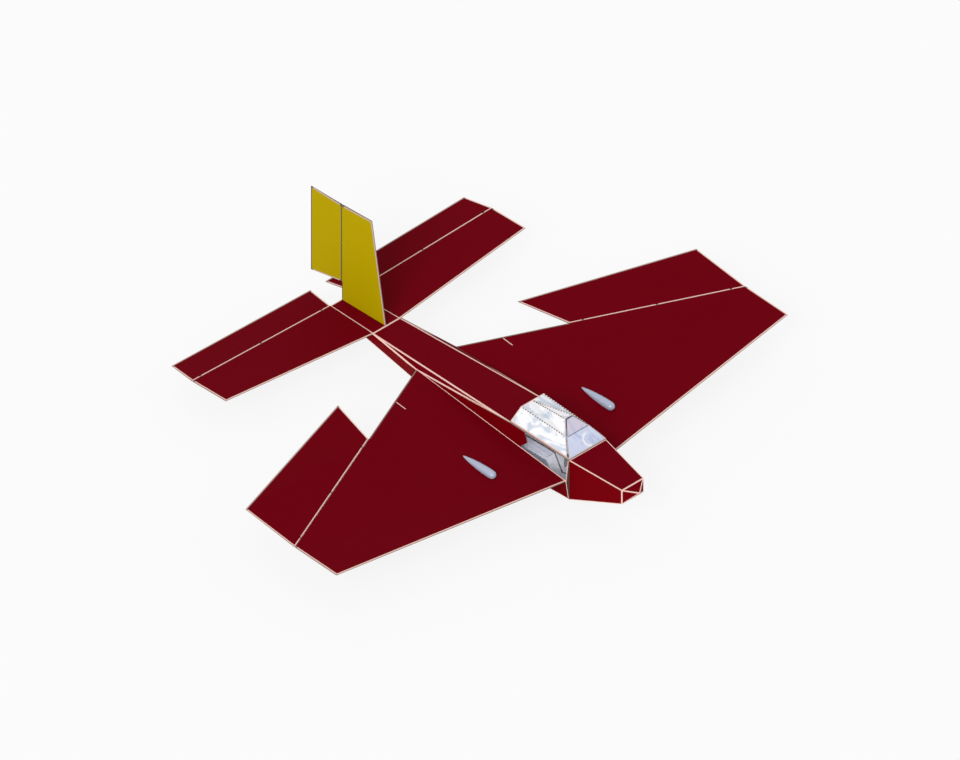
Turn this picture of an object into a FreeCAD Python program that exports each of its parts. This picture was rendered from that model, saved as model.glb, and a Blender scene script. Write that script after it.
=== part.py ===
import FreeCAD, Part
import math
import os
from FreeCAD import Vector

os.makedirs("parts", exist_ok=True)

# A single-seat low-wing microlight with flat panelled sides, in millimetres.
# It is drawn level first: X runs forward from the rudder hinge, Y to the left
# and Z up from the fin root, and it is turned onto its wheels at the end.

# Fuselage stations
stab_root_station = 812
wing_rear_root_station = 1728
hoop_station = 3446
belly_kink_station = 3648
wing_front_root_station = 4496
bulkhead_station = 4530
nose_front_station = 5360
nose_tip_station = 5495

# Fuselage half widths and heights
stern_half_width = 224
stab_root_half_width = 250
chine_rear_half_width = 370
chine_front_half_width = 384
hoop_half_width = 342
bulkhead_half_width = 338
nose_half_width = 200
stern_depth = 19
stab_root_height = -6
chine_rear_height = -63
chine_front_height = -458
hoop_height = -64
bulkhead_top_height = -133
belly_height = -761
nose_top_height = -269
nose_bottom_height = -491
nose_tip_height = -344

# Panels, beads and gaps
panel_thickness = 12
nose_wall = 16
bulkhead_thickness = 12
bead_radius = 13
nose_bead_radius = 12
edge_strip = 18
hinge_strip = 16
nose_flats = 4
tyre_flats = 32
ring_flats = 10
round_flats = 12
bead_flats = 6
upright_limit = 0.02
running_gap = 6
overrun = 60

# Wing
wing_tip_half_span = 4164
wing_front_tip_station = 4060
wing_rear_tip_station = 3288
wing_front_tip_height = -282
wing_rear_tip_height = -219
wing_root_depth = 160
wing_tip_depth = 20
wing_root_nose = 14
wing_tip_nose = 9
wing_hinge_depth = 18
wing_belly_chord_shares = (0.05, 0.12, 0.22, 0.33, 0.50, 0.66, 0.83)
wing_belly_bulge_shares = (0.34, 0.68, 0.91, 1.00, 0.88, 0.64, 0.37)
left_tick_half_span = 966
right_tick_half_span = 1044
rib_tick_length = 200
rib_tick_width = 14

# Ailerons
aileron_inner_hinge_share = 0.39
aileron_rear_inner_station = 1579
aileron_rear_inner_half_span = 1662
aileron_rear_inner_height = -58
aileron_rear_tip_station = 2375
aileron_rear_tip_height = -70
aileron_front_depth = 16
aileron_rear_depth = 10
aileron_hinge_shares = (0.08, 0.5, 0.92)

# Stabilizer and elevators
stab_tip_half_span = 2765
stab_front_tip_station = 614
stab_front_tip_height = 83
stab_rear_tip_height = 91
stab_front_depth = 16
stab_hinge_depth = 20
elevator_rear_station = -455
elevator_rear_inner_half_span = 141
elevator_rear_tip_half_span = 2698
elevator_rear_inner_height = 8
elevator_rear_tip_height = 75
elevator_front_depth = 18
elevator_rear_depth = 10
elevator_hinge_shares = (0.06, 0.5, 0.94)

# Fin and rudder
fin_front_root_station = 803
fin_front_top_station = 546
fin_top_height = 1532
fin_rear_top_height = 1522
fin_front_depth = 18
fin_hinge_depth = 24
rudder_rear_station = -578
rudder_rear_top_height = 1538
rudder_rear_bottom_height = 206
rudder_front_bottom_height = 304
rudder_front_depth = 22
rudder_rear_depth = 10
rudder_hinge_shares = (0.08, 0.5, 0.92)

# Hinge lugs and pins
hinge_lug_width = 20
hinge_lug_radius = 7
hinge_arm_depth = 12
hinge_pin_radius = 4
hinge_pin_length = 45
pin_clearance = 0.09

# Canopy and windscreen
coaming_width = 22
coaming_height = 12
hoop_top_station = 3509
hoop_top_half_width = 206
roof_half_width = 60
hoop_top_height = 150
roof_front_station = 4198
roof_front_height = 216
brow_station = 4346
brow_half_width = 198
brow_height = 74
glass_thickness = 4
canopy_tube_radius = 7
windscreen_tube_radius = 5
canopy_hinge_offset = 22
canopy_barrel_radius = 6
canopy_hinge_pin_radius = 3
canopy_barrel_length = 40
canopy_hinge_shares = (0.2, 0.72)

# Side windows
window_rear_top_station = 3704
window_rear_mid_station = 3774
window_rear_low_station = 3672
window_mid_height = -219
window_low_height = -309

# Cockpit fittings
leg_opening_half_width = 225
leg_opening_top = -300
leg_opening_bottom = -715
seat_half_width = 230
seat_sheet = 14
seat_top_height = -120
seat_pan_height = -448
seat_pan_rear_station = 3600
seat_pan_front_station = 4000
seat_foot_station = 4176
seat_pad_thickness = 24
seat_pad_margin = 12
rail_half_span = 250
rail_radius = 10
rail_rear_height = -216
rail_knee_station = 4167
rail_knee_height = -224
rail_low_station = 4309
rail_low_height = -473
rail_front_height = -440
panel_board_station = 4420
panel_board_bottom = -300
stick_station = 4240
stick_radius = 11
stick_height = 330
stick_grip_radius = 17
stick_grip_length = 110
stick_base_radius = 38
stick_base_height = 30
pedal_reach = 450
pedal_spacing = 100
pedal_width = 80
pedal_height = 150
pedal_thickness = 12
pedal_bar_radius = 12

# Main wheels and their fairings
parking_pitch = 8.4
wheel_station = 3712
wheel_track_half = 1096
tyre_radius = 168
tyre_section_radius = 32
rim_radius = 108
rim_half_width = 26
rim_dish = 10
hub_radius = 26
hub_half_width = 34
axle_radius = 10
axle_nut_radius = 16
axle_nut_length = 14
axle_spigot_length = 30
axle_clearance = 0.09
fairing_front_station = 3918
fairing_length = 611
fairing_nose_height = -323
fairing_tail_height = -290
fairing_half_width = 74
fairing_sink = 40
pod_radius = 60
pod_neck_half_width = 22
fairing_skirt = 30
wheel_pocket_gap = 8
tear_chord_shares = (0.0, 0.02, 0.05, 0.09, 0.29, 0.47, 0.70, 0.95, 1.0)
tear_width_shares = (0.30, 0.66, 0.88, 1.0, 1.0, 0.91, 0.70, 0.27, 0.10)

# Tail wheel
tail_pivot_station = 200
tail_pivot_height = -278
tail_trail = 70
tail_drop = 100
tail_tyre_radius = 72
tail_tyre_section_radius = 18
tail_rim_radius = 42
tail_hub_half_width = 20
tail_axle_radius = 6
tail_leg_width = 50
tail_leg_thickness = 12
tail_leg_front_station = 760
tail_leg_bend_station = 560
tail_barrel_radius = 18
tail_barrel_length = 50
tail_pin_radius = 9
tail_pin_head_radius = 14
tail_pin_head_height = 8
tail_fork_wall = 8
tail_fork_gap = 5
tail_fork_width = 44

# Points of the fuselage's left half
stern_top = Vector(0, stern_half_width, stern_depth)
stern_low = Vector(0, stern_half_width, 0)
stab_root = Vector(stab_root_station, stab_root_half_width, stab_root_height)
chine_rear = Vector(wing_rear_root_station, chine_rear_half_width, chine_rear_height)
chine_front = Vector(wing_front_root_station, chine_front_half_width, chine_front_height)
hoop_base = Vector(hoop_station, hoop_half_width, hoop_height)
cowl_top = Vector(bulkhead_station, bulkhead_half_width, bulkhead_top_height)
cowl_low = Vector(bulkhead_station, bulkhead_half_width, belly_height)
belly_kink = Vector(belly_kink_station, bulkhead_half_width, belly_height)
nose_top = Vector(nose_front_station, nose_half_width, nose_top_height)
nose_low = Vector(nose_front_station, nose_half_width, nose_bottom_height)
nose_tip = Vector(nose_tip_station, 0, nose_tip_height)
UP = Vector(0, 0, 1)
LEFT = Vector(0, 1, 0)
AFT = Vector(-1, 0, 0)


def between(start, end, share):
    """The point at a share of the way from one point to another."""
    return start + (end - start) * share


def at_station(start, end, station):
    """The point of a line where X has a given value."""
    return between(start, end, (station - start.x) / (end.x - start.x))


def right(point):
    """A point's mirror image on the right side."""
    return Vector(point.x, -point.y, point.z)


def mirrored(shape):
    """A shape's mirror image on the right side."""
    return shape.mirror(Vector(), Vector(0, 1, 0))


def both(shape):
    """A left piece with its right twin, in one compound."""
    return Part.makeCompound(shape.Solids + mirrored(shape).Solids)


def polyhedron(outlines):
    """A closed solid from the corner lists of its flat faces."""
    faces = []
    for outline in outlines:
        faces.append(Part.Face(Part.makePolygon(outline + outline[:1])))
    shell = Part.makeShell(faces)
    shell.sewShape()
    solid = Part.Solid(shell.Shells[0])
    if solid.Volume < 0:
        solid.reverse()
    return solid


def two_sided(outlines):
    """Left face outlines with their mirror images."""
    twins = []
    for outline in outlines:
        twins.append([right(point) for point in reversed(outline)])
    return outlines + twins


def prism(outline, sweep):
    """A flat outline pushed along a vector."""
    return Part.Face(Part.makePolygon(outline + outline[:1])).extrude(sweep)


def fused(shapes):
    """Several shapes joined into one, with the seams removed."""
    result = shapes[0]
    if len(shapes) > 1:
        result = result.multiFuse(shapes[1:])
    return result.removeSplitter()


def bead(start, end, radius):
    """A six-sided bar along a line, a little longer than the line."""
    along = end - start
    along.normalize()
    side = along.cross(UP)
    if side.Length < upright_limit:
        side = LEFT * 1
    side.normalize()
    lift = side.cross(along)
    corners = []
    for count in range(bead_flats):
        angle = 2 * math.pi * count / bead_flats
        corners.append(start - along * (radius / 2) + side * (radius * math.cos(angle))
                       + lift * (radius * math.sin(angle)))
    return prism(corners, end - start + along * radius)


def chain(points, radius):
    """Beads along a row of points."""
    return [bead(points[i], points[i + 1], radius) for i in range(len(points) - 1)]


def tube(start, end, radius):
    """A round bar from one point to another."""
    return Part.makeCylinder(radius, (end - start).Length, start, end - start)


def block(low, high):
    """A box between two opposite corners."""
    size = high - low
    return Part.makeBox(size.x, size.y, size.z, low)


def slab(rear, front):
    """A block across the whole fuselage between two stations."""
    reach = wing_tip_half_span + overrun
    return block(Vector(rear, -reach, -reach), Vector(front, reach, reach))


def inset_outline(corners, margins):
    """A convex outline moved inwards, each edge by its own margin."""
    lines = []
    count = len(corners)
    middle = Vector()
    for corner in corners:
        middle += corner / count
    for i, margin in enumerate(margins):
        along = corners[(i + 1) % count] - corners[i]
        along.normalize()
        inward = Vector(-along.y, along.x, 0)
        if inward.dot(middle - corners[i]) < 0:
            inward = -inward
        lines.append((corners[i] + inward * margin, along))
    result = []
    for i in range(count):
        base, along = lines[i - 1]
        other, across = lines[i]
        turn = along.x * across.y - along.y * across.x
        gap = other - base
        reach = (gap.x * across.y - gap.y * across.x) / turn
        result.append(base + along * reach)
    return result


def flat(point):
    """A point's place in plan."""
    return Vector(point.x, point.y, 0)


def plan_core(corners, margins):
    """A tall block standing on an inset plan outline."""
    tall = wing_tip_half_span
    outline = inset_outline([flat(corner) for corner in corners], margins)
    return prism([corner - UP * tall for corner in outline], UP * (2 * tall))


def round_nose(centre, ahead, lift, radius):
    """The corners of a half-round nose, from its low side to its high side."""
    corners = []
    for count in range(nose_flats + 1):
        angle = math.pi * (count / nose_flats - 1 / 2)
        corners.append(centre + ahead * (radius * math.cos(angle))
                       + lift * (radius * math.sin(angle)))
    return corners


def plate_section(front, rear, front_depth, rear_depth, lift):
    """The corners of a thin section with a round nose and a blunt rear."""
    ahead = front - rear
    ahead.normalize()
    corners = round_nose(front, ahead, lift, front_depth / 2)
    return corners + [rear + lift * (rear_depth / 2), rear - lift * (rear_depth / 2)]


def wing_section(front, rear, depth, nose):
    """The corners of a flat-topped section with a round nose and a curved belly."""
    along = rear - front
    chord = along.Length
    along.normalize()
    down = along.cross(LEFT)
    if down.z > 0:
        down = -down
    corners = round_nose(front + along * nose + down * nose, -along, -down, nose)
    corners += [rear, rear - UP * wing_hinge_depth]
    belly = []
    for share in wing_belly_chord_shares:
        belly.append(2 * nose * (1 - share) + wing_hinge_depth * share)
    bulge = depth - belly[wing_belly_bulge_shares.index(1)]
    belly = list(zip(wing_belly_chord_shares, belly, wing_belly_bulge_shares))
    for chord_share, plain_depth, bulge_share in reversed(belly):
        corners.append(front + along * (chord * chord_share)
                       + down * (plain_depth + bulge * bulge_share))
    return corners


def lofted(first, last):
    """A solid between two sections, all in flat faces."""
    outlines = [first, last]
    for i, corner in enumerate(first):
        j = (i + 1) % len(first)
        outlines.append([corner, first[j], last[j]])
        outlines.append([corner, last[j], last[i]])
    return polyhedron(outlines).removeSplitter()


def lathe(centre, along, across, profile, flats, ring=False):
    """A turned solid with flat sides, from distances along its axis and radii."""
    other = along.cross(across)
    rows = []
    for distance, radius in profile:
        row = []
        for count in range(flats):
            angle = 2 * math.pi * (count + 1 / 2) / flats
            row.append(centre + along * distance + across * (radius * math.cos(angle))
                       + other * (radius * math.sin(angle)))
        rows.append(row)
    pairs = list(zip(rows[:-1], rows[1:]))
    if ring:
        pairs.append((rows[-1], rows[0]))
        outlines = []
    else:
        outlines = [rows[0], rows[-1]]
    for row, after in pairs:
        for i in range(flats):
            j = (i + 1) % flats
            outlines.append([row[i], row[j], after[j], after[i]])
    return polyhedron(outlines)


def rod(start, end, radius):
    """A bar with flat sides from one point to another."""
    along = end - start
    length = along.Length
    along.normalize()
    across = along.cross(UP)
    if across.Length < upright_limit:
        across = LEFT * 1
    across.normalize()
    return lathe(start, along, across, [(0, radius), (length, radius)], round_flats)


# Fuselage hull
def hull(inset):
    """The six-sided fuselage from stern to bulkhead, moved inwards by an inset."""
    inner = Vector(0, -inset, -inset)
    lower = Vector(0, -inset, inset)
    side = Vector(0, -inset, 0)
    top = [point + inner for point in (stern_top, stab_root, hoop_base, cowl_top)]
    low = [point + lower for point in (stern_low, belly_kink, cowl_low)]
    rear_chine = chine_rear + side
    front_chine = at_station(chine_rear, chine_front, bulkhead_station) + side
    sides = [[top[1], top[2], rear_chine],
             [top[2], top[3], rear_chine],
             [top[3], front_chine, rear_chine],
             [top[0], top[1], low[0]],
             [top[1], rear_chine, low[0]],
             [rear_chine, low[1], low[0]],
             [rear_chine, front_chine, low[1]],
             [front_chine, low[2], low[1]]]
    centre = []
    for row in (top, low):
        for start, end in zip(row[:-1], row[1:]):
            centre.append([start, end, right(end), right(start)])
    centre.append([top[0], low[0], right(low[0]), right(top[0])])
    front = [top[3], front_chine, low[2]]
    centre.append(front + [right(point) for point in reversed(front)])
    return polyhedron(two_sided(sides) + centre)


outer_hull = hull(0)
side_panel_stop = bulkhead_station - bulkhead_thickness
front_chine = at_station(chine_rear, chine_front, bulkhead_station)

longeron_runs = [[stern_top, stab_root, hoop_base, cowl_top],
                 [stab_root, chine_rear, front_chine],
                 [chine_rear, hoop_base],
                 [stern_low, belly_kink, cowl_low]]
hull_beads = []
for run in longeron_runs:
    hull_beads += chain(run, bead_radius)
    hull_beads += chain([right(point) for point in run], bead_radius)
for point in (stern_top, stab_root, belly_kink):
    hull_beads.append(bead(point, right(point), bead_radius))
front_run = [at_station(hoop_base, cowl_top, side_panel_stop),
             at_station(chine_rear, chine_front, side_panel_stop),
             at_station(belly_kink, cowl_low, side_panel_stop)]
hull_beads += chain(front_run, bead_radius) + chain([right(point) for point in front_run], bead_radius)
bead_frame = fused(hull_beads)
ahead_cut = slab(side_panel_stop, bulkhead_station + overrun)
longerons = bead_frame.common(outer_hull).cut(ahead_cut)

# The cockpit tub is what is left of the hull's wall once the beads are out
stern_part = outer_hull.common(slab(-overrun, hoop_station))
aft_fuselage = stern_part.cut(bead_frame)


def cockpit_hollow():
    """The inside of the tub, open at the top."""
    rear_top = hoop_base - Vector(0, panel_thickness, 0)
    front_top = cowl_top - Vector(0, panel_thickness, 0)
    inner = hull(panel_thickness)
    lid = [rear_top, front_top, right(front_top), right(rear_top)]
    lid = [point - UP * (2 * panel_thickness) for point in lid]
    opening = prism(lid, UP * (2 * panel_thickness + overrun))
    return inner.fuse(opening)


tub_room = slab(hoop_station, side_panel_stop)
tub_wall = outer_hull.common(tub_room).cut(cockpit_hollow()).cut(bead_frame)
floor_corners = [at_station(stern_low, belly_kink, hoop_station), belly_kink, cowl_low]
floor_edge = [flat(point) - Vector(0, panel_thickness, 0) for point in floor_corners]
floor_edge += [right(point) for point in reversed(floor_edge)]
floor_column = prism([point + UP * belly_height * 2 for point in floor_edge],
                     -UP * belly_height * 2)
cockpit_floor = tub_wall.common(floor_column)
tub_sides = tub_wall.cut(floor_column)


# Side windows, in the flat panel between the longeron and the chine


def on_side(station, height):
    """A point of the upper side panel at a station and a height."""
    normal = (cowl_top - chine_rear).cross(front_chine - chine_rear)
    reach = normal.x * (station - chine_rear.x) + normal.z * (height - chine_rear.z)
    return Vector(station, chine_rear.y - reach / normal.y, height)


window_drop = UP * panel_thickness
window_rear_top = at_station(hoop_base, cowl_top, window_rear_top_station) - window_drop
window_front_top = at_station(hoop_base, cowl_top, side_panel_stop) - window_drop
window_outline = [window_rear_top,
                  on_side(window_rear_mid_station, window_mid_height),
                  on_side(window_rear_low_station, window_low_height),
                  at_station(chine_rear, chine_front, window_rear_low_station),
                  at_station(chine_rear, chine_front, side_panel_stop),
                  window_front_top]
window_start = [Vector(point.x, 0, point.z) for point in window_outline]
window_block = prism(window_start, Vector(0, wing_tip_half_span, 0))
chine_low = [at_station(chine_rear, chine_front, hoop_station), front_chine]
chine_high = [Vector(bulkhead_station, 0, overrun), Vector(hoop_station, 0, overrun)]
above_chine = prism([Vector(point.x, 0, point.z) for point in chine_low + chine_high],
                    Vector(0, wing_tip_half_span, 0))
left_pieces = [piece for piece in tub_sides.Solids if piece.CenterOfMass.y > 0]
left_wall = Part.makeCompound(left_pieces)
window_hole = window_block.common(above_chine)
cockpit_side_left = left_wall.cut(window_hole)
window_glass_room = hull(0).cut(hull(glass_thickness)).common(tub_room)
side_window_left = window_glass_room.cut(bead_frame).common(window_hole)
side_window_left = max(side_window_left.Solids, key=lambda piece: piece.Volume)

# Bulkheads
front_section = outer_hull.common(slab(side_panel_stop, bulkhead_station))
leg_opening = block(Vector(side_panel_stop - overrun, -leg_opening_half_width, leg_opening_bottom),
                    Vector(bulkhead_station + overrun, leg_opening_half_width, leg_opening_top))
front_bulkhead = front_section.cut(leg_opening)
seat_bulkhead = hull(panel_thickness).common(
    slab(hoop_station, hoop_station + bulkhead_thickness)).cut(bead_frame)

# Nose


def nose_solid(inset, front_inset):
    """The tapered nose box, moved inwards by an inset."""
    shrink = Vector(0, -inset, -inset)
    grow = Vector(0, -inset, inset)
    back = Vector(front_inset, 0, 0)
    rear = [cowl_top + shrink, cowl_low + grow]
    front = [nose_top + shrink - back, nose_low + grow - back]
    sides = [[rear[0], rear[1], front[1], front[0]]]
    centre = [[rear[0], front[0], right(front[0]), right(rear[0])],
              [rear[1], front[1], right(front[1]), right(rear[1])],
              [rear[0], rear[1], right(rear[1]), right(rear[0])],
              [front[0], front[1], right(front[1]), right(front[0])]]
    return polyhedron(two_sided(sides) + centre)


nose_body = nose_solid(0, 0)
nose_cone = polyhedron([[nose_top, nose_low, nose_tip],
                        [right(nose_top), right(nose_low), nose_tip],
                        [nose_top, right(nose_top), nose_tip],
                        [nose_low, right(nose_low), nose_tip],
                        [nose_top, nose_low, right(nose_low), right(nose_top)]])
nose_runs = [[cowl_top, nose_top, nose_tip],
             [cowl_low, nose_low, nose_tip],
             [nose_top, nose_low]]
nose_beads = []
for run in nose_runs:
    nose_beads += chain(run, nose_bead_radius)
    nose_beads += chain([right(point) for point in run], nose_bead_radius)
for point in (cowl_top, cowl_low, nose_top, nose_low):
    nose_beads.append(bead(point, right(point), nose_bead_radius))
nose_bead_frame = fused(nose_beads)
nose_edges = nose_bead_frame.common(nose_body.fuse(nose_cone))
nose_shell = nose_body.cut(nose_solid(nose_wall, nose_wall)).cut(nose_bead_frame)
nose_cap = nose_cone.cut(nose_bead_frame)

# Wing
wing_front_tip = Vector(wing_front_tip_station, wing_tip_half_span, wing_front_tip_height)
wing_rear_tip = Vector(wing_rear_tip_station, wing_tip_half_span, wing_rear_tip_height)
wing_run = wing_rear_tip - chine_rear
wing_aft = Vector(-wing_run.y, wing_run.x, 0)
wing_aft.normalize()
hinge_half_gap = wing_aft * (running_gap / 2)


def at_half_span(start, end, half_span):
    """The point of a line where Y has a given value."""
    return between(start, end, (half_span - start.y) / (end.y - start.y))


root_half_span = bulkhead_half_width - overrun
wing_front_root = at_half_span(chine_front, wing_front_tip, root_half_span)
wing_rear_line = [chine_rear - hinge_half_gap, wing_rear_tip - hinge_half_gap]
wing_rear_root = at_half_span(wing_rear_line[0], wing_rear_line[1], root_half_span)
wing_rear_end = at_half_span(wing_rear_line[0], wing_rear_line[1], wing_tip_half_span)
wing_blank = lofted(wing_section(wing_front_root, wing_rear_root, wing_root_depth, wing_root_nose),
                    wing_section(wing_front_tip, wing_rear_end, wing_tip_depth, wing_tip_nose))
wing_body = wing_blank.cut(outer_hull)

# Where the wheel stands
ground_normal = Vector(math.sin(math.radians(parking_pitch)), 0,
                       math.cos(math.radians(parking_pitch)))
tail_pivot = Vector(tail_pivot_station, 0, tail_pivot_height)
ground_aft = Vector(-ground_normal.z, 0, ground_normal.x)
tail_wheel_centre = tail_pivot + ground_aft * tail_trail - ground_normal * tail_drop
ground_level = ground_normal.dot(tail_wheel_centre) - tail_tyre_radius
wheel_height = (tyre_radius + ground_level - ground_normal.x * wheel_station) / ground_normal.z
wheel_centre = Vector(wheel_station, wheel_track_half, wheel_height)

# The wheel fairing is a teardrop pod on top of the wing, a neck through the wing's
# skin and a trouser below it
fairing_rear_station = fairing_front_station - fairing_length
pod_nose = Vector(fairing_front_station, wheel_track_half, fairing_nose_height)
pod_run = Vector(fairing_rear_station, wheel_track_half, fairing_tail_height) - pod_nose
pod_length = pod_run.Length
pod_run.normalize()
pod_profile = []
for chord_share, width_share in zip(tear_chord_shares, tear_width_shares):
    pod_profile.append((pod_length * chord_share, pod_radius * width_share))
pod = lathe(pod_nose, pod_run, LEFT, pod_profile, 2 * round_flats)


def tear_prism(half_width, top, bottom):
    """An upright block with the pod's plan shape at another width."""
    left_side = []
    right_side = []
    for chord_share, width_share in zip(tear_chord_shares, tear_width_shares):
        middle = pod_nose + AFT * (fairing_length * chord_share)
        left_side.append(middle + LEFT * (half_width * width_share))
        right_side.append(middle - LEFT * (half_width * width_share))
    outline = left_side + right_side[::-1]
    return prism([point + UP * (top - fairing_nose_height) for point in outline],
                 UP * (bottom - top))


def on_wing(station, half_span):
    """A point of the wing's top at a station and a half span."""
    normal = (wing_front_root - wing_rear_root).cross(wing_rear_end - wing_rear_root)
    away = Vector(station, half_span, 0) - wing_rear_root
    height = -(normal.x * away.x + normal.y * away.y) / normal.z
    return Vector(station, half_span, wing_rear_root.z + height)


skirt_floor = wheel_centre.z - fairing_skirt
neck_floor = on_wing(fairing_front_station, wheel_track_half).z - 2 * fairing_sink
neck = tear_prism(pod_neck_half_width, fairing_nose_height, neck_floor)
trouser = tear_prism(fairing_half_width, fairing_tail_height, skirt_floor)
trouser_side = Vector(0, fairing_half_width + overrun, 0)
skin_line = []
for station in (fairing_rear_station - overrun, fairing_front_station + overrun):
    skin_line.append(on_wing(station, wheel_track_half) - UP * fairing_sink - trouser_side)
skin_line += [point + UP * wing_root_depth for point in reversed(skin_line)]
trouser = trouser.cut(prism(skin_line, trouser_side * 2))
fairing_body = fused([pod, neck, trouser])
pocket_half_width = tyre_section_radius + wheel_pocket_gap
pocket_radius = (tyre_radius + wheel_pocket_gap) / math.cos(math.pi / (2 * round_flats))
pocket_profile = [(-pocket_half_width, pocket_radius), (pocket_half_width, pocket_radius)]
wheel_pocket = lathe(wheel_centre, LEFT, UP, pocket_profile, 2 * round_flats)
pocket_low = block(wheel_centre - Vector(pocket_radius, pocket_half_width, 2 * tyre_radius),
                   wheel_centre + Vector(pocket_radius, pocket_half_width, 0))
axle_half_length = fairing_half_width + axle_nut_length + axle_spigot_length
axle_reach = Vector(0, axle_half_length, 0)
axle_bar = tube(wheel_centre - axle_reach, wheel_centre + axle_reach, axle_radius)
fairing_left = fairing_body.cut(wheel_pocket).cut(pocket_low).cut(axle_bar)
wing_body = wing_body.cut(fairing_body)

wing_corners = [wing_front_root, wing_front_tip, wing_rear_end, wing_rear_root]
wing_core = plan_core(wing_corners, [edge_strip, edge_strip, -overrun, -overrun])
aileron_root = between(chine_rear, wing_rear_tip, aileron_inner_hinge_share)
strip_ahead = wing_aft * -hinge_strip
strip_outline = [flat(wing_rear_root + wing_aft * overrun), flat(aileron_root + wing_aft * overrun),
                 flat(aileron_root - hinge_half_gap + strip_ahead), flat(wing_rear_root + strip_ahead)]
rear_strip = prism([point - UP * wing_tip_half_span for point in strip_outline],
                   UP * (2 * wing_tip_half_span))


def wing_with_strips(tick_half_span):
    """The left wing and its edge strips, with a short strip at a rib."""
    tick_rear = at_half_span(chine_rear, wing_rear_tip, tick_half_span) - hinge_half_gap
    tick_low = tick_rear - Vector(0, rib_tick_width / 2, wing_root_depth)
    tick = block(tick_low, tick_low + Vector(rib_tick_length, rib_tick_width, 2 * wing_root_depth))
    inlay = rear_strip.fuse(tick)
    strips = wing_body.cut(wing_core).fuse(wing_body.common(wing_core).common(inlay))
    return wing_body.common(wing_core).cut(inlay), strips.removeSplitter()


wing_left, wing_edge_left = wing_with_strips(left_tick_half_span)
wing_right, wing_edge_right = [mirrored(shape) for shape in wing_with_strips(right_tick_half_span)]


def hinged_pair(hinge_start, hinge_end, shares, aft, lift, face_offset):
    """Fixed lugs with their pins, and what they need cut out of the moving piece."""
    lugs = []
    cuts = []
    along = hinge_end - hinge_start
    along.normalize()
    ways = [1] * (len(shares) - 1) + [-1]
    for share, way in zip(shares, ways):
        centre = between(hinge_start, hinge_end, share)
        half = along * (hinge_lug_width / 2)
        lug = rod(centre - half, centre + half, hinge_lug_radius)
        rise = lift * (hinge_arm_depth / 2)
        corners = [centre - half + rise, centre - half - rise,
                   centre - half - rise - aft * face_offset,
                   centre - half + rise - aft * face_offset]
        arm = prism(corners, half * 2)
        pin_reach = along * (way * hinge_pin_length)
        pin = tube(centre, centre + pin_reach, hinge_pin_radius)
        lugs.append(fused([lug, arm, pin]))
        bore = tube(centre, centre + pin_reach + along * (way * running_gap),
                    hinge_pin_radius + pin_clearance)
        slot_half = along * (hinge_lug_width / 2 + running_gap)
        tall = lift * (2 * hinge_lug_radius + running_gap)
        back = aft * (hinge_lug_radius + running_gap)
        front = aft * (2 * face_offset)
        slot = prism([centre - slot_half - tall + back, centre - slot_half + tall + back,
                      centre - slot_half + tall - front, centre - slot_half - tall - front],
                     slot_half * 2)
        cuts += [bore, slot]
    return lugs, cuts


# Ailerons
aileron_nose = aileron_front_depth / 2
hinge_drop = UP * (wing_hinge_depth / 2)
aileron_offset = wing_aft * (running_gap / 2 + aileron_nose)
aileron_axis_inner = aileron_root + aileron_offset - hinge_drop
aileron_axis_outer = wing_rear_tip + aileron_offset - hinge_drop
aileron_axis_outer = at_half_span(aileron_axis_inner, aileron_axis_outer, wing_tip_half_span)
aileron_rear_inner = Vector(aileron_rear_inner_station, aileron_rear_inner_half_span,
                            aileron_rear_inner_height) - hinge_drop
aileron_rear_tip = Vector(aileron_rear_tip_station, wing_tip_half_span,
                          aileron_rear_tip_height) - hinge_drop
aileron_blank = lofted(
    plate_section(aileron_axis_inner, aileron_rear_inner, aileron_front_depth,
                  aileron_rear_depth, UP),
    plate_section(aileron_axis_outer, aileron_rear_tip, aileron_front_depth,
                  aileron_rear_depth, UP))
aileron_lugs, aileron_cuts = hinged_pair(aileron_axis_inner, aileron_axis_outer,
                                         aileron_hinge_shares, wing_aft, UP,
                                         aileron_nose + running_gap)
aileron_body = aileron_blank.cut(fused(aileron_cuts))
aileron_core = plan_core([aileron_axis_inner, aileron_axis_outer, aileron_rear_tip,
                          aileron_rear_inner],
                         [hinge_strip - aileron_nose, edge_strip, edge_strip, edge_strip])
aileron_left = aileron_body.common(aileron_core)
aileron_edge_left = aileron_body.cut(aileron_core)

# Stabilizer and elevators
stab_front_tip = Vector(stab_front_tip_station, stab_tip_half_span, stab_front_tip_height)
stab_rear_tip = Vector(0, stab_tip_half_span, stab_rear_tip_height)
hinge_ahead = Vector(running_gap / 2, 0, 0)
stab_inner_half_span = stern_half_width - overrun
stab_drop = UP * (stab_hinge_depth / 2)


def stab_section(front, rear):
    """A thin section whose round nose ends at the front point."""
    ahead = front - rear
    ahead.normalize()
    return plate_section(front - ahead * (stab_front_depth / 2), rear, stab_front_depth,
                         stab_hinge_depth, UP)


stab_front_inner = at_half_span(stab_root, stab_front_tip, stab_inner_half_span) - stab_drop
stab_rear_inner = at_half_span(stern_top, stab_rear_tip, stab_inner_half_span) - stab_drop
stab_blank = lofted(
    stab_section(stab_front_inner, stab_rear_inner + hinge_ahead),
    stab_section(stab_front_tip - stab_drop, stab_rear_tip - stab_drop + hinge_ahead))
deck_outline = [flat(point) for point in (stern_top - Vector(overrun, 0, 0), stern_top, stab_root,
                                          hoop_base)]
deck_outline += [right(point) for point in reversed(deck_outline)]
deck_column = prism([point - UP * hoop_half_width for point in deck_outline],
                    UP * (2 * hoop_half_width))
stab_body = stab_blank.cut(deck_column).cut(outer_hull)
stab_core = plan_core([stab_front_inner, stab_front_tip, stab_rear_tip + hinge_ahead,
                       stab_rear_inner + hinge_ahead],
                      [edge_strip, edge_strip, -overrun, -overrun])
stabilizer_left = stab_body.common(stab_core)
stabilizer_edge_left = stab_body.cut(stab_core)

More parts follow.
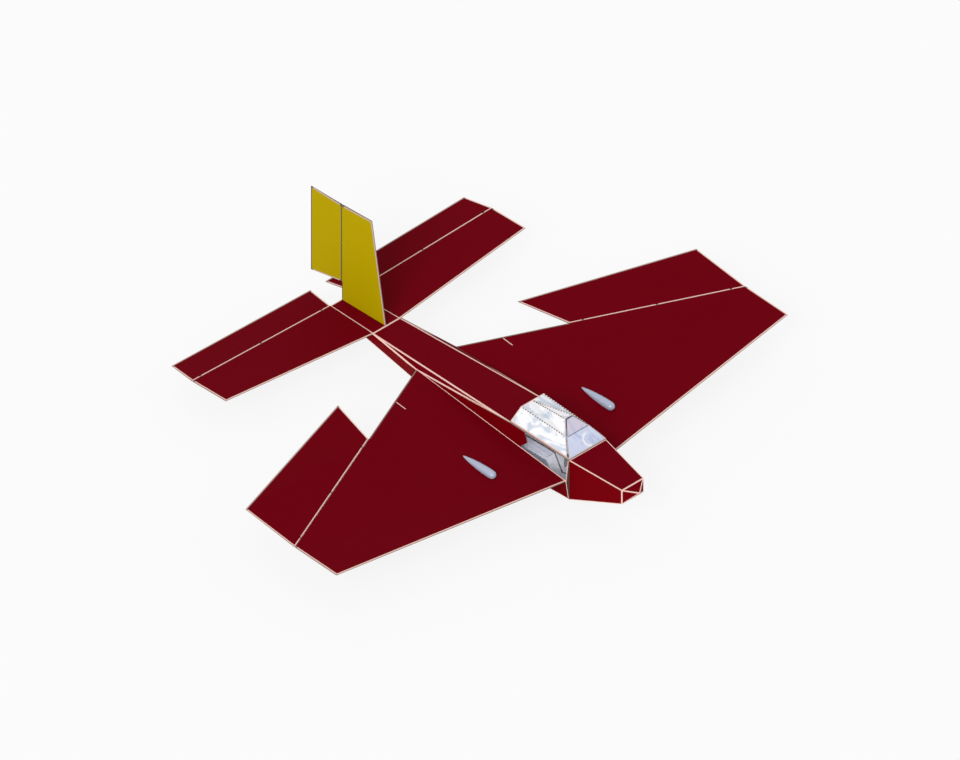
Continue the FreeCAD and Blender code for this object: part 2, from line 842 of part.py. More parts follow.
elevator_nose = elevator_front_depth / 2
elevator_back = Vector(-running_gap / 2 - elevator_nose, 0, 0)
elevator_axis_inner = stern_top - stab_drop + elevator_back
elevator_axis_outer = stab_rear_tip - stab_drop + elevator_back
elevator_rear_inner = Vector(elevator_rear_station, elevator_rear_inner_half_span,
                             elevator_rear_inner_height) - stab_drop
elevator_rear_tip = Vector(elevator_rear_station, elevator_rear_tip_half_span,
                           elevator_rear_tip_height) - stab_drop
elevator_blank = lofted(
    plate_section(elevator_axis_inner, elevator_rear_inner, elevator_front_depth,
                  elevator_rear_depth, UP),
    plate_section(elevator_axis_outer, elevator_rear_tip, elevator_front_depth,
                  elevator_rear_depth, UP))
elevator_lugs, elevator_cuts = hinged_pair(elevator_axis_inner, elevator_axis_outer,
                                           elevator_hinge_shares, AFT, UP,
                                           elevator_nose + running_gap)
elevator_body = elevator_blank.cut(fused(elevator_cuts))
elevator_core = plan_core([elevator_axis_inner, elevator_axis_outer, elevator_rear_tip,
                           elevator_rear_inner],
                          [hinge_strip - elevator_nose, edge_strip, edge_strip, edge_strip])
elevator_left = elevator_body.common(elevator_core)
elevator_edge_left = elevator_body.cut(elevator_core)


# Fin and rudder
def side_core(corners, margins):
    """A wide block whose side outline is an inset outline."""
    outline = inset_outline([Vector(point.x, point.z, 0) for point in corners], margins)
    wide = stern_half_width
    return prism([Vector(point.x, -wide, point.y) for point in outline], Vector(0, 2 * wide, 0))


fin_bottom = -overrun


def fin_section(front, rear):
    """A thin upright section whose round nose ends at the front point."""
    ahead = front - rear
    ahead.normalize()
    return plate_section(front - ahead * (fin_front_depth / 2), rear, fin_front_depth,
                         fin_hinge_depth, LEFT)


fin_front_root = Vector(fin_front_root_station, 0, stab_root_height)
fin_front_top = Vector(fin_front_top_station, 0, fin_top_height)
fin_rear_top = Vector(running_gap / 2, 0, fin_rear_top_height)
fin_front_low = between(fin_front_root, fin_front_top,
                        (fin_bottom - fin_front_root.z) / (fin_front_top.z - fin_front_root.z))
fin_rear_low = Vector(running_gap / 2, 0, fin_bottom)
fin_blank = lofted(fin_section(fin_front_low, fin_rear_low),
                   fin_section(fin_front_top, fin_rear_top))
fin_body = fin_blank.cut(outer_hull).common(
    block(Vector(-overrun, -overrun, 0) - UP * overrun,
          Vector(nose_front_station, overrun, wing_tip_half_span)))
fin_body = max(fin_body.Solids, key=lambda piece: piece.Volume)
fin_core = side_core([fin_front_low, fin_front_top, fin_rear_top, fin_rear_low],
                     [edge_strip, edge_strip, -overrun, -overrun])
fin_strip = block(Vector(-overrun, -stern_half_width, -overrun),
                  Vector(hinge_strip, stern_half_width, rudder_front_bottom_height))
fin = fin_body.common(fin_core).cut(fin_strip)
fin_edge = fin_body.cut(fin_core).fuse(fin_body.common(fin_core).common(fin_strip))
fin_edge = fin_edge.removeSplitter()

rudder_nose = rudder_front_depth / 2
rudder_axis_station = -running_gap / 2 - rudder_nose
rudder_axis_low = Vector(rudder_axis_station, 0, rudder_front_bottom_height)
rudder_axis_top = Vector(rudder_axis_station, 0, fin_rear_top_height)
rudder_rear_low = Vector(rudder_rear_station, 0, rudder_rear_bottom_height)
rudder_rear_top = Vector(rudder_rear_station, 0, rudder_rear_top_height)
rudder_blank = lofted(
    plate_section(rudder_axis_low, rudder_rear_low, rudder_front_depth, rudder_rear_depth, LEFT),
    plate_section(rudder_axis_top, rudder_rear_top, rudder_front_depth, rudder_rear_depth, LEFT))
rudder_lugs, rudder_cuts = hinged_pair(rudder_axis_low, rudder_axis_top, rudder_hinge_shares,
                                       AFT, LEFT, rudder_nose + running_gap)
rudder_body = rudder_blank.cut(fused(rudder_cuts))
rudder_core = side_core([rudder_axis_low, rudder_axis_top, rudder_rear_top, rudder_rear_low],
                        [hinge_strip - rudder_nose, edge_strip, edge_strip, edge_strip])
rudder = rudder_body.common(rudder_core)
rudder_edge = rudder_body.cut(rudder_core)


# Main wheels
def tyre_ring(centre, upright, ring_radius, section_radius):
    """A tyre about a sideways axis that stands on one of its flats."""
    grow = 1 / math.cos(math.pi / ring_flats)
    widen = 1 / math.cos(math.pi / tyre_flats)
    profile = []
    for count in range(ring_flats):
        angle = 2 * math.pi * (count + 1 / 2) / ring_flats
        profile.append((section_radius * math.sin(angle),
                        (ring_radius + section_radius * grow * math.cos(angle)) * widen))
    return lathe(centre, LEFT, upright, profile, tyre_flats, ring=True)


tyre_ring_radius = tyre_radius - tyre_section_radius
tyre = tyre_ring(wheel_centre, ground_normal, tyre_ring_radius, tyre_section_radius)
rim_outer_radius = tyre_ring_radius - math.sqrt(tyre_section_radius ** 2 - rim_half_width ** 2)
well_half_width = rim_half_width - rim_dish
well_radius = rim_radius - rim_dish
rim_half = [(0, rim_outer_radius), (rim_half_width, rim_outer_radius),
            (rim_half_width, well_radius), (well_half_width, well_radius),
            (well_half_width, hub_radius), (hub_half_width, hub_radius)]
rim_profile = [(-distance, radius) for distance, radius in reversed(rim_half[1:])] + rim_half[1:]
rim = lathe(wheel_centre, LEFT, ground_normal, rim_profile, tyre_flats)
hub_bore = tube(wheel_centre - axle_reach, wheel_centre + axle_reach, axle_radius + axle_clearance)
main_hub_left = rim.cut(hub_bore).cut(tyre).removeSplitter()
nut_profile = [(fairing_half_width, axle_nut_radius),
               (fairing_half_width + axle_nut_length, axle_nut_radius)]
axle_nuts = [lathe(wheel_centre, LEFT, ground_normal, nut_profile, bead_flats),
             lathe(wheel_centre, -LEFT, ground_normal, nut_profile, bead_flats)]
axle_left = fused([axle_bar] + axle_nuts)


# Tail wheel, drawn upright about its pivot and then leaned with the ground
def leaned(shape):
    """A tail wheel piece set at its pivot, square to the ground."""
    turned = shape.copy()
    turned.rotate(Vector(), LEFT, parking_pitch)
    turned.translate(tail_pivot)
    return turned


tail_centre = Vector(-tail_trail, 0, -tail_drop)
tail_half = tail_tyre_section_radius + tail_fork_gap
tail_ring_radius = tail_tyre_radius - tail_tyre_section_radius
tail_tyre_upright = tyre_ring(tail_centre, UP, tail_ring_radius, tail_tyre_section_radius)
tail_axle_reach = Vector(0, tail_half + tail_fork_wall, 0)
tail_drum_profile = [(-tail_hub_half_width, tail_rim_radius), (tail_hub_half_width, tail_rim_radius)]
tail_drum = lathe(tail_centre, LEFT, UP, tail_drum_profile, tyre_flats)
tail_axle = tube(tail_centre - tail_axle_reach, tail_centre + tail_axle_reach, tail_axle_radius)
tail_hub_upright = tail_drum.fuse(tail_axle).cut(tail_tyre_upright)
fork_top = -tail_barrel_length / 2 - running_gap
fork_crown = block(Vector(-tail_barrel_radius, -tail_half - tail_fork_wall,
                          fork_top - tail_fork_wall),
                   Vector(tail_fork_width / 2, tail_half + tail_fork_wall, fork_top))
fork_outline = [Vector(-tail_barrel_radius, tail_half, fork_top),
                Vector(tail_fork_width / 2, tail_half, fork_top),
                Vector(tail_centre.x + tail_fork_width / 2, tail_half, tail_centre.z),
                Vector(tail_centre.x - tail_fork_width / 2, tail_half, tail_centre.z)]
fork_leg = prism(fork_outline, Vector(0, tail_fork_wall, 0))
fork_eye = rod(tail_centre + Vector(0, tail_half, 0),
               tail_centre + Vector(0, tail_half + tail_fork_wall, 0), tail_fork_width / 2)
king_top = Vector(0, 0, tail_barrel_length / 2 + running_gap)
king_pin = tube(Vector(0, 0, fork_top), king_top, tail_pin_radius)
king_head = rod(king_top, king_top + UP * tail_pin_head_height, tail_pin_head_radius)
fork_bore = tube(tail_centre - tail_axle_reach * 2, tail_centre + tail_axle_reach * 2,
                 tail_axle_radius + pin_clearance)
fork_side = fork_leg.fuse(fork_eye)
tail_fork_upright = fused([fork_crown, fork_side, mirrored(fork_side), king_pin, king_head])
tail_fork_upright = tail_fork_upright.cut(fork_bore)
barrel_reach = UP * (tail_barrel_length / 2)
barrel_upright = rod(-barrel_reach, barrel_reach, tail_barrel_radius)
barrel_bore_upright = tube(-barrel_reach * 2, barrel_reach * 2, tail_pin_radius + pin_clearance)
tail_tyre = leaned(tail_tyre_upright)
tail_hub = leaned(tail_hub_upright)
tail_fork = leaned(tail_fork_upright)

belly_line_start = Vector()
belly_line_end = Vector(belly_kink_station, 0, belly_height)
leg_front = at_station(belly_line_start, belly_line_end, tail_leg_front_station)
leg_bend = at_station(belly_line_start, belly_line_end, tail_leg_bend_station)
leg_slope = belly_line_end - belly_line_start
leg_slope.normalize()
leg_down = LEFT.cross(leg_slope)
if leg_down.z > 0:
    leg_down = -leg_down
leg_run = tail_pivot - leg_bend
leg_run.normalize()
leg_under = LEFT.cross(leg_run)
if leg_under.z > 0:
    leg_under = -leg_under
leg_side = Vector(0, tail_leg_width / 2, 0)
leg_pad = prism([leg_front - leg_side, leg_bend - leg_side,
                 leg_bend + leg_down * tail_leg_thickness - leg_side,
                 leg_front + leg_down * tail_leg_thickness - leg_side], leg_side * 2)
leg_spring = prism([leg_bend - leg_side, tail_pivot - leg_side,
                    tail_pivot + leg_under * tail_leg_thickness - leg_side,
                    leg_bend + leg_under * tail_leg_thickness - leg_side], leg_side * 2)
tail_leg = fused([leg_pad, leg_spring, leaned(barrel_upright)])
tail_leg = tail_leg.cut(leaned(barrel_bore_upright)).cut(outer_hull)

# Coaming round the cockpit opening
coaming_rear = hoop_base
coaming_outer = [coaming_rear, cowl_top, right(cowl_top), right(coaming_rear)]
coaming_in = Vector(0, coaming_width, 0)
inner_rear = at_station(hoop_base, cowl_top, hoop_station + coaming_width) - coaming_in
inner_front = at_station(hoop_base, cowl_top, bulkhead_station - coaming_width) - coaming_in
coaming_inner = [inner_rear, inner_front, right(inner_front), right(inner_rear)]
coaming_hole = prism([point - UP * coaming_height for point in coaming_inner],
                     UP * (3 * coaming_height))
coaming = prism(coaming_outer, UP * coaming_height).cut(coaming_hole)

# Canopy and windscreen corner points, along the middle of their edge tubes
canopy_lift = UP * (coaming_height + running_gap + canopy_tube_radius)
screen_lift = UP * (coaming_height + windscreen_tube_radius)
tube_in = Vector(0, canopy_tube_radius, 0)
hoop_low = hoop_base + canopy_lift - tube_in + Vector(canopy_tube_radius, 0, 0)
hoop_corner = Vector(hoop_top_station, hoop_top_half_width, hoop_top_height)
hoop_ridge = Vector(hoop_top_station, 0, hoop_top_height)
roof_front = Vector(roof_front_station, roof_half_width, roof_front_height)
brow = Vector(brow_station, brow_half_width, brow_height)
screen_base = cowl_top + screen_lift - Vector(windscreen_tube_radius, windscreen_tube_radius, 0)
bow_gap = canopy_tube_radius + windscreen_tube_radius + running_gap
bow_back = Vector(-bow_gap * math.sqrt(2), 0, 0)
bow_ridge = roof_front + bow_back
bow_brow = brow + bow_back
bow_base = at_station(hoop_low, cowl_top + canopy_lift - tube_in,
                      screen_base.x + bow_back.x * 2)


def pane(corners, inward):
    """A flat glass sheet on its corner points."""
    normal = (corners[1] - corners[0]).cross(corners[-1] - corners[0])
    normal.normalize()
    if normal.dot(inward) < 0:
        normal = -normal
    lowered = [corner - normal * (glass_thickness / 2) for corner in corners]
    return prism(lowered, normal * glass_thickness)


def frame_of(runs, radius):
    """Bars along rows of points, joined where they meet."""
    pieces = []
    for run in runs:
        pieces += chain(run, radius)
    return fused(pieces)


centre_point = Vector(hoop_station / 2 + bulkhead_station / 2, 0, belly_height)
roof_pane = [hoop_ridge, bow_ridge, right(bow_ridge)]
left_panes = [[hoop_ridge, hoop_corner, bow_brow],
              [hoop_ridge, bow_brow, bow_ridge],
              [hoop_corner, hoop_low, bow_brow],
              [hoop_low, bow_base, bow_brow]]
canopy_panes = []
for corners in left_panes:
    sheet = pane(corners, centre_point - corners[0])
    canopy_panes += [sheet, mirrored(sheet)]
canopy_panes.append(pane(roof_pane, centre_point - hoop_ridge))
rear_pane = [hoop_low, hoop_corner, right(hoop_corner), right(hoop_low)]
canopy_panes.append(pane(rear_pane, centre_point - hoop_low))
canopy_runs = [[hoop_low, hoop_corner, hoop_ridge],
               [hoop_ridge, bow_ridge],
               [hoop_corner, bow_brow],
               [bow_ridge, bow_brow, bow_base],
               [hoop_low, bow_base]]
canopy_runs += [[right(point) for point in run] for run in canopy_runs]
canopy_runs += [[bow_ridge, right(bow_ridge)], [hoop_low, right(hoop_low)]]
canopy_tubes = frame_of(canopy_runs, canopy_tube_radius)

# Canopy hinges on the left rail
rail_start = hoop_low
rail_end = bow_base
rail_along = rail_end - rail_start
rail_along.normalize()
hinge_out = rail_along.cross(UP)
if hinge_out.y < 0:
    hinge_out = -hinge_out
hinge_out.normalize()
hinge_line = hinge_out * canopy_hinge_offset
barrels = []
hinge_posts = []
bores = []
for share in canopy_hinge_shares:
    centre = between(rail_start, rail_end, share) + hinge_line
    half = rail_along * (canopy_barrel_length / 2)
    barrel = rod(centre - half, centre + half, canopy_barrel_radius)
    lift = UP * canopy_barrel_radius
    strap = prism([centre - half + lift / 2, centre - half - lift / 2,
                   centre - half - lift / 2 - hinge_line, centre - half + lift / 2 - hinge_line],
                  half * 2)
    barrels += [barrel, strap]
    pin_half = half * 2
    bores.append(tube(centre - half * 3, centre + half * 3,
                      canopy_hinge_pin_radius + pin_clearance))
    pin = tube(centre - pin_half, centre + pin_half, canopy_hinge_pin_radius)
    pieces = [pin]
    for way in (-1, 1):
        end = centre + pin_half * way
        start = centre + (half + rail_along * running_gap) * way
        pieces.append(rod(start, end, canopy_barrel_radius))
        foot = UP * (canopy_barrel_radius * 2 + coaming_height)
        side = hinge_out * canopy_barrel_radius
        pieces.append(prism([start - side, start + side, start + side - foot,
                             start - side * 3 - foot, start - side * 3 - foot / 2],
                            end - start))
    hinge_posts.append(fused(pieces))
canopy_frame = fused([canopy_tubes] + barrels).cut(fused(bores))
canopy_glass = fused(canopy_panes).cut(canopy_frame)
canopy_hinges = [post.cut(outer_hull).cut(coaming) for post in hinge_posts]

screen_runs = [[right(roof_front), roof_front, brow, screen_base],
               [right(roof_front), right(brow), right(screen_base)],
               [brow, right(brow)], [screen_base, right(screen_base)]]
windscreen_frame = frame_of(screen_runs, windscreen_tube_radius).cut(coaming).cut(front_bulkhead)
windscreen_frame = windscreen_frame.cut(nose_body)
screen_panes = [pane([roof_front, brow, right(brow), right(roof_front)], centre_point - brow),
                pane([brow, screen_base, right(screen_base), right(brow)], centre_point - brow)]
windscreen_glass = fused(screen_panes).cut(windscreen_frame).cut(coaming)

# Seat, a bent sheet with a pad
floor_height = belly_height + panel_thickness
seat_front_face = hoop_station + bulkhead_thickness
seat_path = [Vector(seat_front_face, 0, seat_top_height),
             Vector(seat_pan_rear_station, 0, seat_pan_height),
             Vector(seat_pan_front_station, 0, seat_pan_height),
             Vector(seat_foot_station, 0, floor_height)]


def sheet_over(points, thickness, half_width, lift):
    """A bent sheet that follows a row of points, with its under face on them."""
    sheets = []
    for start, end in zip(points[:-1], points[1:]):
        along = end - start
        along.normalize()
        normal = along.cross(LEFT)
        if normal.z < 0:
            normal = -normal
        low = [start + normal * lift - LEFT * half_width, end + normal * lift - LEFT * half_width,
               end + normal * (lift + thickness) - LEFT * half_width,
               start + normal * (lift + thickness) - LEFT * half_width]
        sheets.append(prism(low, LEFT * (2 * half_width)))
    for point in points[1:-1]:
        sheets.append(rod(point - LEFT * half_width, point + LEFT * half_width,
                          lift + thickness))
    return sheets


seat_room = block(Vector(seat_front_face, -bulkhead_half_width, floor_height),
                  Vector(bulkhead_station, bulkhead_half_width, 0))
seat = fused(sheet_over(seat_path, seat_sheet, seat_half_width, 0)).common(seat_room)
pad_path = [between(seat_path[0], seat_path[1], seat_pad_margin / seat_half_width),
            seat_path[1], seat_path[2]]
pad_blank = fused(sheet_over(pad_path, seat_sheet + seat_pad_thickness,
                             seat_half_width - seat_pad_margin, 0))
pad_front = block(Vector(seat_pan_front_station - seat_pad_margin, -seat_half_width, belly_height),
                  Vector(bulkhead_station, seat_half_width, 0))
seat_pad = pad_blank.cut(seat).cut(pad_front).common(seat_room)
seat_pad = max(seat_pad.Solids, key=lambda piece: piece.CenterOfMass.z)

# Bent tube rails along both sides of the cockpit
rail_path = [Vector(seat_front_face, rail_half_span, rail_rear_height),
             Vector(rail_knee_station, rail_half_span, rail_knee_height),
             Vector(rail_low_station, rail_half_span, rail_low_height),
             Vector(side_panel_stop, rail_half_span, rail_front_height)]
rail_bars = []
for start, end in zip(rail_path[:-1], rail_path[1:]):
    along = end - start
    along.normalize()
    across = LEFT.cross(along)
    rail_bars.append(lathe(start - along * rail_radius, along, across,
                           [(0, rail_radius), ((end - start).Length + 2 * rail_radius, rail_radius)],
                           round_flats))
rail_room = block(Vector(seat_front_face, 0, belly_height),
                  Vector(side_panel_stop, wing_tip_half_span, 0))
cockpit_rail_left = fused(rail_bars).common(rail_room)

# Instrument board, stick and pedals
board_half_width = bulkhead_half_width - panel_thickness
board_low = Vector(panel_board_station, -board_half_width, panel_board_bottom)
board_high = Vector(panel_board_station + panel_thickness, board_half_width, overrun)
instrument_panel = outer_hull.common(block(board_low, board_high)).cut(bead_frame)
instrument_panel = instrument_panel.cut(both(cockpit_rail_left))
stick_foot = Vector(stick_station, 0, floor_height)
stick_top = stick_foot + UP * stick_height
control_stick = fused([rod(stick_foot, stick_foot + UP * stick_base_height, stick_base_radius),
                       rod(stick_foot, stick_top, stick_radius),
                       rod(stick_top - UP * stick_grip_length, stick_top, stick_grip_radius)])
pedal_station = bulkhead_station + pedal_reach
nose_floor = at_station(cowl_low, nose_low, pedal_station).z
nose_side = at_station(cowl_low, nose_low, pedal_station).y - nose_wall
pedal_bar_height = nose_floor + pedal_height
pedal_parts = [rod(Vector(pedal_station, -nose_side, pedal_bar_height),
                   Vector(pedal_station, nose_side, pedal_bar_height), pedal_bar_radius)]
for way in (-1, 1):
    low = Vector(pedal_station - pedal_thickness / 2, way * pedal_spacing - pedal_width / 2,
                 pedal_bar_height)
    pedal_parts.append(block(low, low + Vector(pedal_thickness, pedal_width, pedal_height)))
nose_hollow = nose_solid(nose_wall, nose_wall)
rudder_pedals = fused(pedal_parts).common(nose_hollow)

# All pieces by name, still drawn level
pieces = {
    "aft_fuselage": aft_fuselage,
    "fuselage_longerons": longerons,
    "cockpit_side_left": cockpit_side_left,
    "cockpit_side_right": mirrored(cockpit_side_left),
    "side_windows": both(side_window_left),
    "cockpit_floor": cockpit_floor,
    "seat_bulkhead": seat_bulkhead,
    "front_bulkhead": front_bulkhead,
    "nose_shell": nose_shell,
    "nose_cap": nose_cap,
    "nose_edges": nose_edges,
    "wing_left": wing_left,
    "wing_right": wing_right,
    "wing_edges": Part.makeCompound([wing_edge_left, wing_edge_right]),
    "aileron_left": aileron_left,
    "aileron_right": mirrored(aileron_left),
    "aileron_edge_left": aileron_edge_left,
    "aileron_edge_right": mirrored(aileron_edge_left),
    "aileron_hinges": both(Part.makeCompound(aileron_lugs)),
    "stabilizer_left": stabilizer_left,
    "stabilizer_right": mirrored(stabilizer_left),
    "stabilizer_edges": both(stabilizer_edge_left),
    "elevator_left": elevator_left,
    "elevator_right": mirrored(elevator_left),
    "elevator_edge_left": elevator_edge_left,
    "elevator_edge_right": mirrored(elevator_edge_left),
    "elevator_hinges": both(Part.makeCompound(elevator_lugs)),
    "fin": fin,
    "fin_edge": fin_edge,
    "rudder": rudder,
    "rudder_edge": rudder_edge,
    "rudder_hinges": Part.makeCompound(rudder_lugs),
    "gear_fairing_left": fairing_left,
    "gear_fairing_right": mirrored(fairing_left),
    "main_axles": both(axle_left),
    "main_tyre_left": tyre,
    "main_tyre_right": mirrored(tyre),
    "main_hub_left": main_hub_left,
    "main_hub_right": mirrored(main_hub_left),
    "tail_leg": tail_leg,
    "tail_fork": tail_fork,
    "tail_tyre": tail_tyre,
    "tail_hub": tail_hub,
    "cockpit_coaming": coaming,
    "canopy_frame": canopy_frame,
    "canopy_glass": canopy_glass,
    "canopy_hinges": Part.makeCompound(canopy_hinges),
    "windscreen_frame": windscreen_frame,
    "windscreen_glass": windscreen_glass,
    "seat": seat,
    "seat_pad": seat_pad,
    "cockpit_rails": both(cockpit_rail_left),
    "instrument_panel": instrument_panel,
    "control_stick": control_stick,
    "rudder_pedals": rudder_pedals,
}

# The nose comes up by the parking pitch, the wheels stand on Z zero and the
# origin lies on the ground below the middle of the whole aircraft.
def pitched(point):
    """A level point turned by the parking pitch."""
    turn = math.radians(parking_pitch)
    return Vector(point.x * math.cos(turn) - point.z * math.sin(turn), point.y,
                  point.x * math.sin(turn) + point.z * math.cos(turn))


front_end = pitched(nose_tip).x
rear_end = pitched(rudder_rear_top).x
stand_shift = Vector(-(front_end + rear_end) / 2, 0, -ground_level)


def parked(shape):
    """A level shape turned onto its wheels."""
    turned = shape.copy()
    turned.rotate(Vector(), LEFT, -parking_pitch)
    turned.translate(stand_shift)
    return turned


def parked_point(point):
    """A level point's place once the aircraft stands on its wheels."""
    return pitched(point) + stand_shift


for name, shape in pieces.items():
    parked(Part.makeCompound(shape.Solids)).exportStep("parts/" + name + ".step")
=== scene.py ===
import math

import bmesh
import bpy
from mathutils import Matrix, Vector


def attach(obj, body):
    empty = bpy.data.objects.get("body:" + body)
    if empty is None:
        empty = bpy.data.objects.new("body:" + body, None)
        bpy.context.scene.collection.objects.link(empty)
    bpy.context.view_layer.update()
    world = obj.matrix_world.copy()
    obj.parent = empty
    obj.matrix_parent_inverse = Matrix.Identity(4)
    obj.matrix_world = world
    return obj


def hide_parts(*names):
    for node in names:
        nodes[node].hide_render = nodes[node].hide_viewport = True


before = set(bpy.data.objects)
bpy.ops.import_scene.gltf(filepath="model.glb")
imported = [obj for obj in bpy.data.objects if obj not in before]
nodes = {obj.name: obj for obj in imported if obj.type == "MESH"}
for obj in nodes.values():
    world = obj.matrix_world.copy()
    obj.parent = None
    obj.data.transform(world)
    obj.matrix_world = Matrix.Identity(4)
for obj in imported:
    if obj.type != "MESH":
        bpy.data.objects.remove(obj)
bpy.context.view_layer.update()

# The photograph looks at the aircraft from above its right front quarter, along an
# even diagonal of its level axes, with no perspective. Here it stands nose up on its
# tail wheel, so the camera leans back by the same angle.
parking_pitch = math.radians(8.4)
nose_up = Matrix.Rotation(-parking_pitch, 3, "Y")
camera_back = Vector((1, -1, 1)).normalized()
camera_right = Vector((1, 1, 0)).normalized()
camera_up = camera_back.cross(camera_right)
camera_axes = Matrix((camera_right, camera_up, camera_back)).transposed()
camera_target = Vector((0.1696, 0, 0.7792))
camera_distance = 20
camera_data = bpy.data.cameras.new("photo_camera")
camera_data.type = "ORTHO"
camera_data.ortho_scale = 12.541
camera_data.clip_end = 100
camera = bpy.data.objects.new("photo_camera", camera_data)
bpy.context.collection.objects.link(camera)
camera.matrix_world = (Matrix.Translation(camera_target + nose_up @ camera_back * camera_distance)
                       @ (nose_up @ camera_axes).to_4x4())
bpy.context.scene.camera = camera
bpy.context.scene.view_settings.view_transform = "Standard"

# A plain pale studio: a wide matt floor, a white surround, one broad soft lamp from
# over the camera's left shoulder, and an even fill from all round. The floor and the
# surround show white behind the aircraft, which stands alone in the photograph.
background_white = (0.98, 0.98, 0.98, 1)
floor_grey = (0.86, 0.86, 0.86, 1)
floor_glow_share = 0.89
fill_colour = (0.97, 0.98, 1.0, 1)
lamp_direction = Vector((0.62, -1.3, 0.95))


def feed(tree, node, inputs):
    """Gives a node's inputs their values, or links them."""
    for socket, value in inputs.items():
        if isinstance(value, bpy.types.NodeSocket):
            tree.links.new(value, node.inputs[socket])
        else:
            node.inputs[socket].default_value = value
    return node


def add(tree, kind, inputs=None, **settings):
    """A shader node with its settings and its inputs."""
    node = tree.nodes.new("ShaderNode" + kind)
    for name, value in settings.items():
        setattr(node, name, value)
    return feed(tree, node, inputs or {})


def maths(tree, operation, *values):
    """A sum on numbers or sockets."""
    return add(tree, "Math", dict(enumerate(values)), operation=operation).outputs[0]


def seen_directly(tree):
    """A mask of the rays from the camera, also of those that come through glass."""
    ray = add(tree, "LightPath").outputs
    return maths(tree, "MAXIMUM", ray["Is Camera Ray"], ray["Is Transmission Ray"])


floor_mesh = bpy.data.meshes.new("studio_floor")
shape = bmesh.new()
bmesh.ops.create_grid(shape, x_segments=1, y_segments=1, size=60)
shape.to_mesh(floor_mesh)
shape.free()
floor = bpy.data.objects.new("studio_floor", floor_mesh)
bpy.context.collection.objects.link(floor)
floor_paint = bpy.data.materials.new("studio_floor")
floor_paint.use_nodes = True
tree = floor_paint.node_tree
tree.nodes.clear()
matt = add(tree, "BsdfDiffuse", {"Color": floor_grey})
glow = add(tree, "Emission", {"Color": background_white})
floor_shares = add(tree, "MixShader",
                   {0: maths(tree, "MULTIPLY", seen_directly(tree), floor_glow_share),
                    1: matt.outputs[0], 2: glow.outputs[0]})
add(tree, "OutputMaterial", {"Surface": floor_shares.outputs[0]})
floor_mesh.materials.append(floor_paint)

world = bpy.data.worlds.new("studio")
bpy.context.scene.world = world
world.use_nodes = True
tree = world.node_tree
tree.nodes.clear()
fill = add(tree, "Background", {"Color": fill_colour, "Strength": 0.68})
white = add(tree, "Background", {"Color": background_white})
world_shares = add(tree, "MixShader",
                   {0: seen_directly(tree), 1: fill.outputs[0], 2: white.outputs[0]})
add(tree, "OutputWorld", {"Surface": world_shares.outputs[0]})

lamp_data = bpy.data.lights.new("broad_lamp", "SUN")
lamp_data.energy = 1.7
lamp_data.angle = math.radians(25)
lamp = bpy.data.objects.new("broad_lamp", lamp_data)
bpy.context.collection.objects.link(lamp)
lamp.rotation_mode = "QUATERNION"
lamp.rotation_quaternion = (nose_up @ lamp_direction).to_track_quat("Z", "Y")

# The fuselage is a slab-sided box of thin sheet over light frames. Its outside is
# painted a satin dark red, and the slow unevenness of the coat and the grain of the
# cloth under it show close to. Upright faces are painted a brighter red and faces
# underneath brighter still: painted light, which lifts the sides and the shade under
# the wings and the tail.
red = (0.148, 0.0006, 0.0052, 1)
# Painted light: brighter copies of the red for the upright faces and the faces underneath.
painted_side_light_red = (0.162, 0.0003, 0.0032, 1)
painted_under_light_red = (0.215, 0.0004, 0.0032, 1)
flat_paint = {"Specular IOR Level": 0.01}
faces_down = (-0.35, -0.1)
faces_up = (0.45, 0.65)


def add_group(tree, name, inputs):
    """A shader group placed in a material, with its own values."""
    node = tree.nodes.new("ShaderNodeGroup")
    node.node_tree = bpy.data.node_groups[name]
    return feed(tree, node, inputs)


def new_group(name, inputs, outputs):
    """An empty shader group with named sockets, and its two end nodes."""
    group = bpy.data.node_groups.new(name, "ShaderNodeTree")
    for label, kind, value in inputs:
        socket = group.interface.new_socket(label, in_out="INPUT", socket_type="NodeSocket" + kind)
        socket.default_value = value
    for label, kind in outputs:
        group.interface.new_socket(label, in_out="OUTPUT", socket_type="NodeSocket" + kind)
    return group, group.nodes.new("NodeGroupInput").outputs, group.nodes.new("NodeGroupOutput")


def mixed(tree, share, first, second):
    """Two colours mixed by a share."""
    node = add(tree, "Mix", {0: share, 6: first, 7: second}, data_type="RGBA")
    return node.outputs[2]


def ramp(tree, value, low, high, at_low=0.0, at_high=1.0):
    """A value carried smoothly from one range to another."""
    node = add(tree, "MapRange", {0: value, 1: low, 2: high, 3: at_low, 4: at_high},
               interpolation_type="SMOOTHSTEP")
    return node.outputs[0]


def parts_of(tree, coordinate):
    """The X, Y and Z of a place on the piece, or of the way that its face looks."""
    return add(tree, "SeparateXYZ", {0: add(tree, "TexCoord").outputs[coordinate]}).outputs


finish_outputs = [("Color", "Color"), ("Roughness", "Float"), ("Height", "Float")]


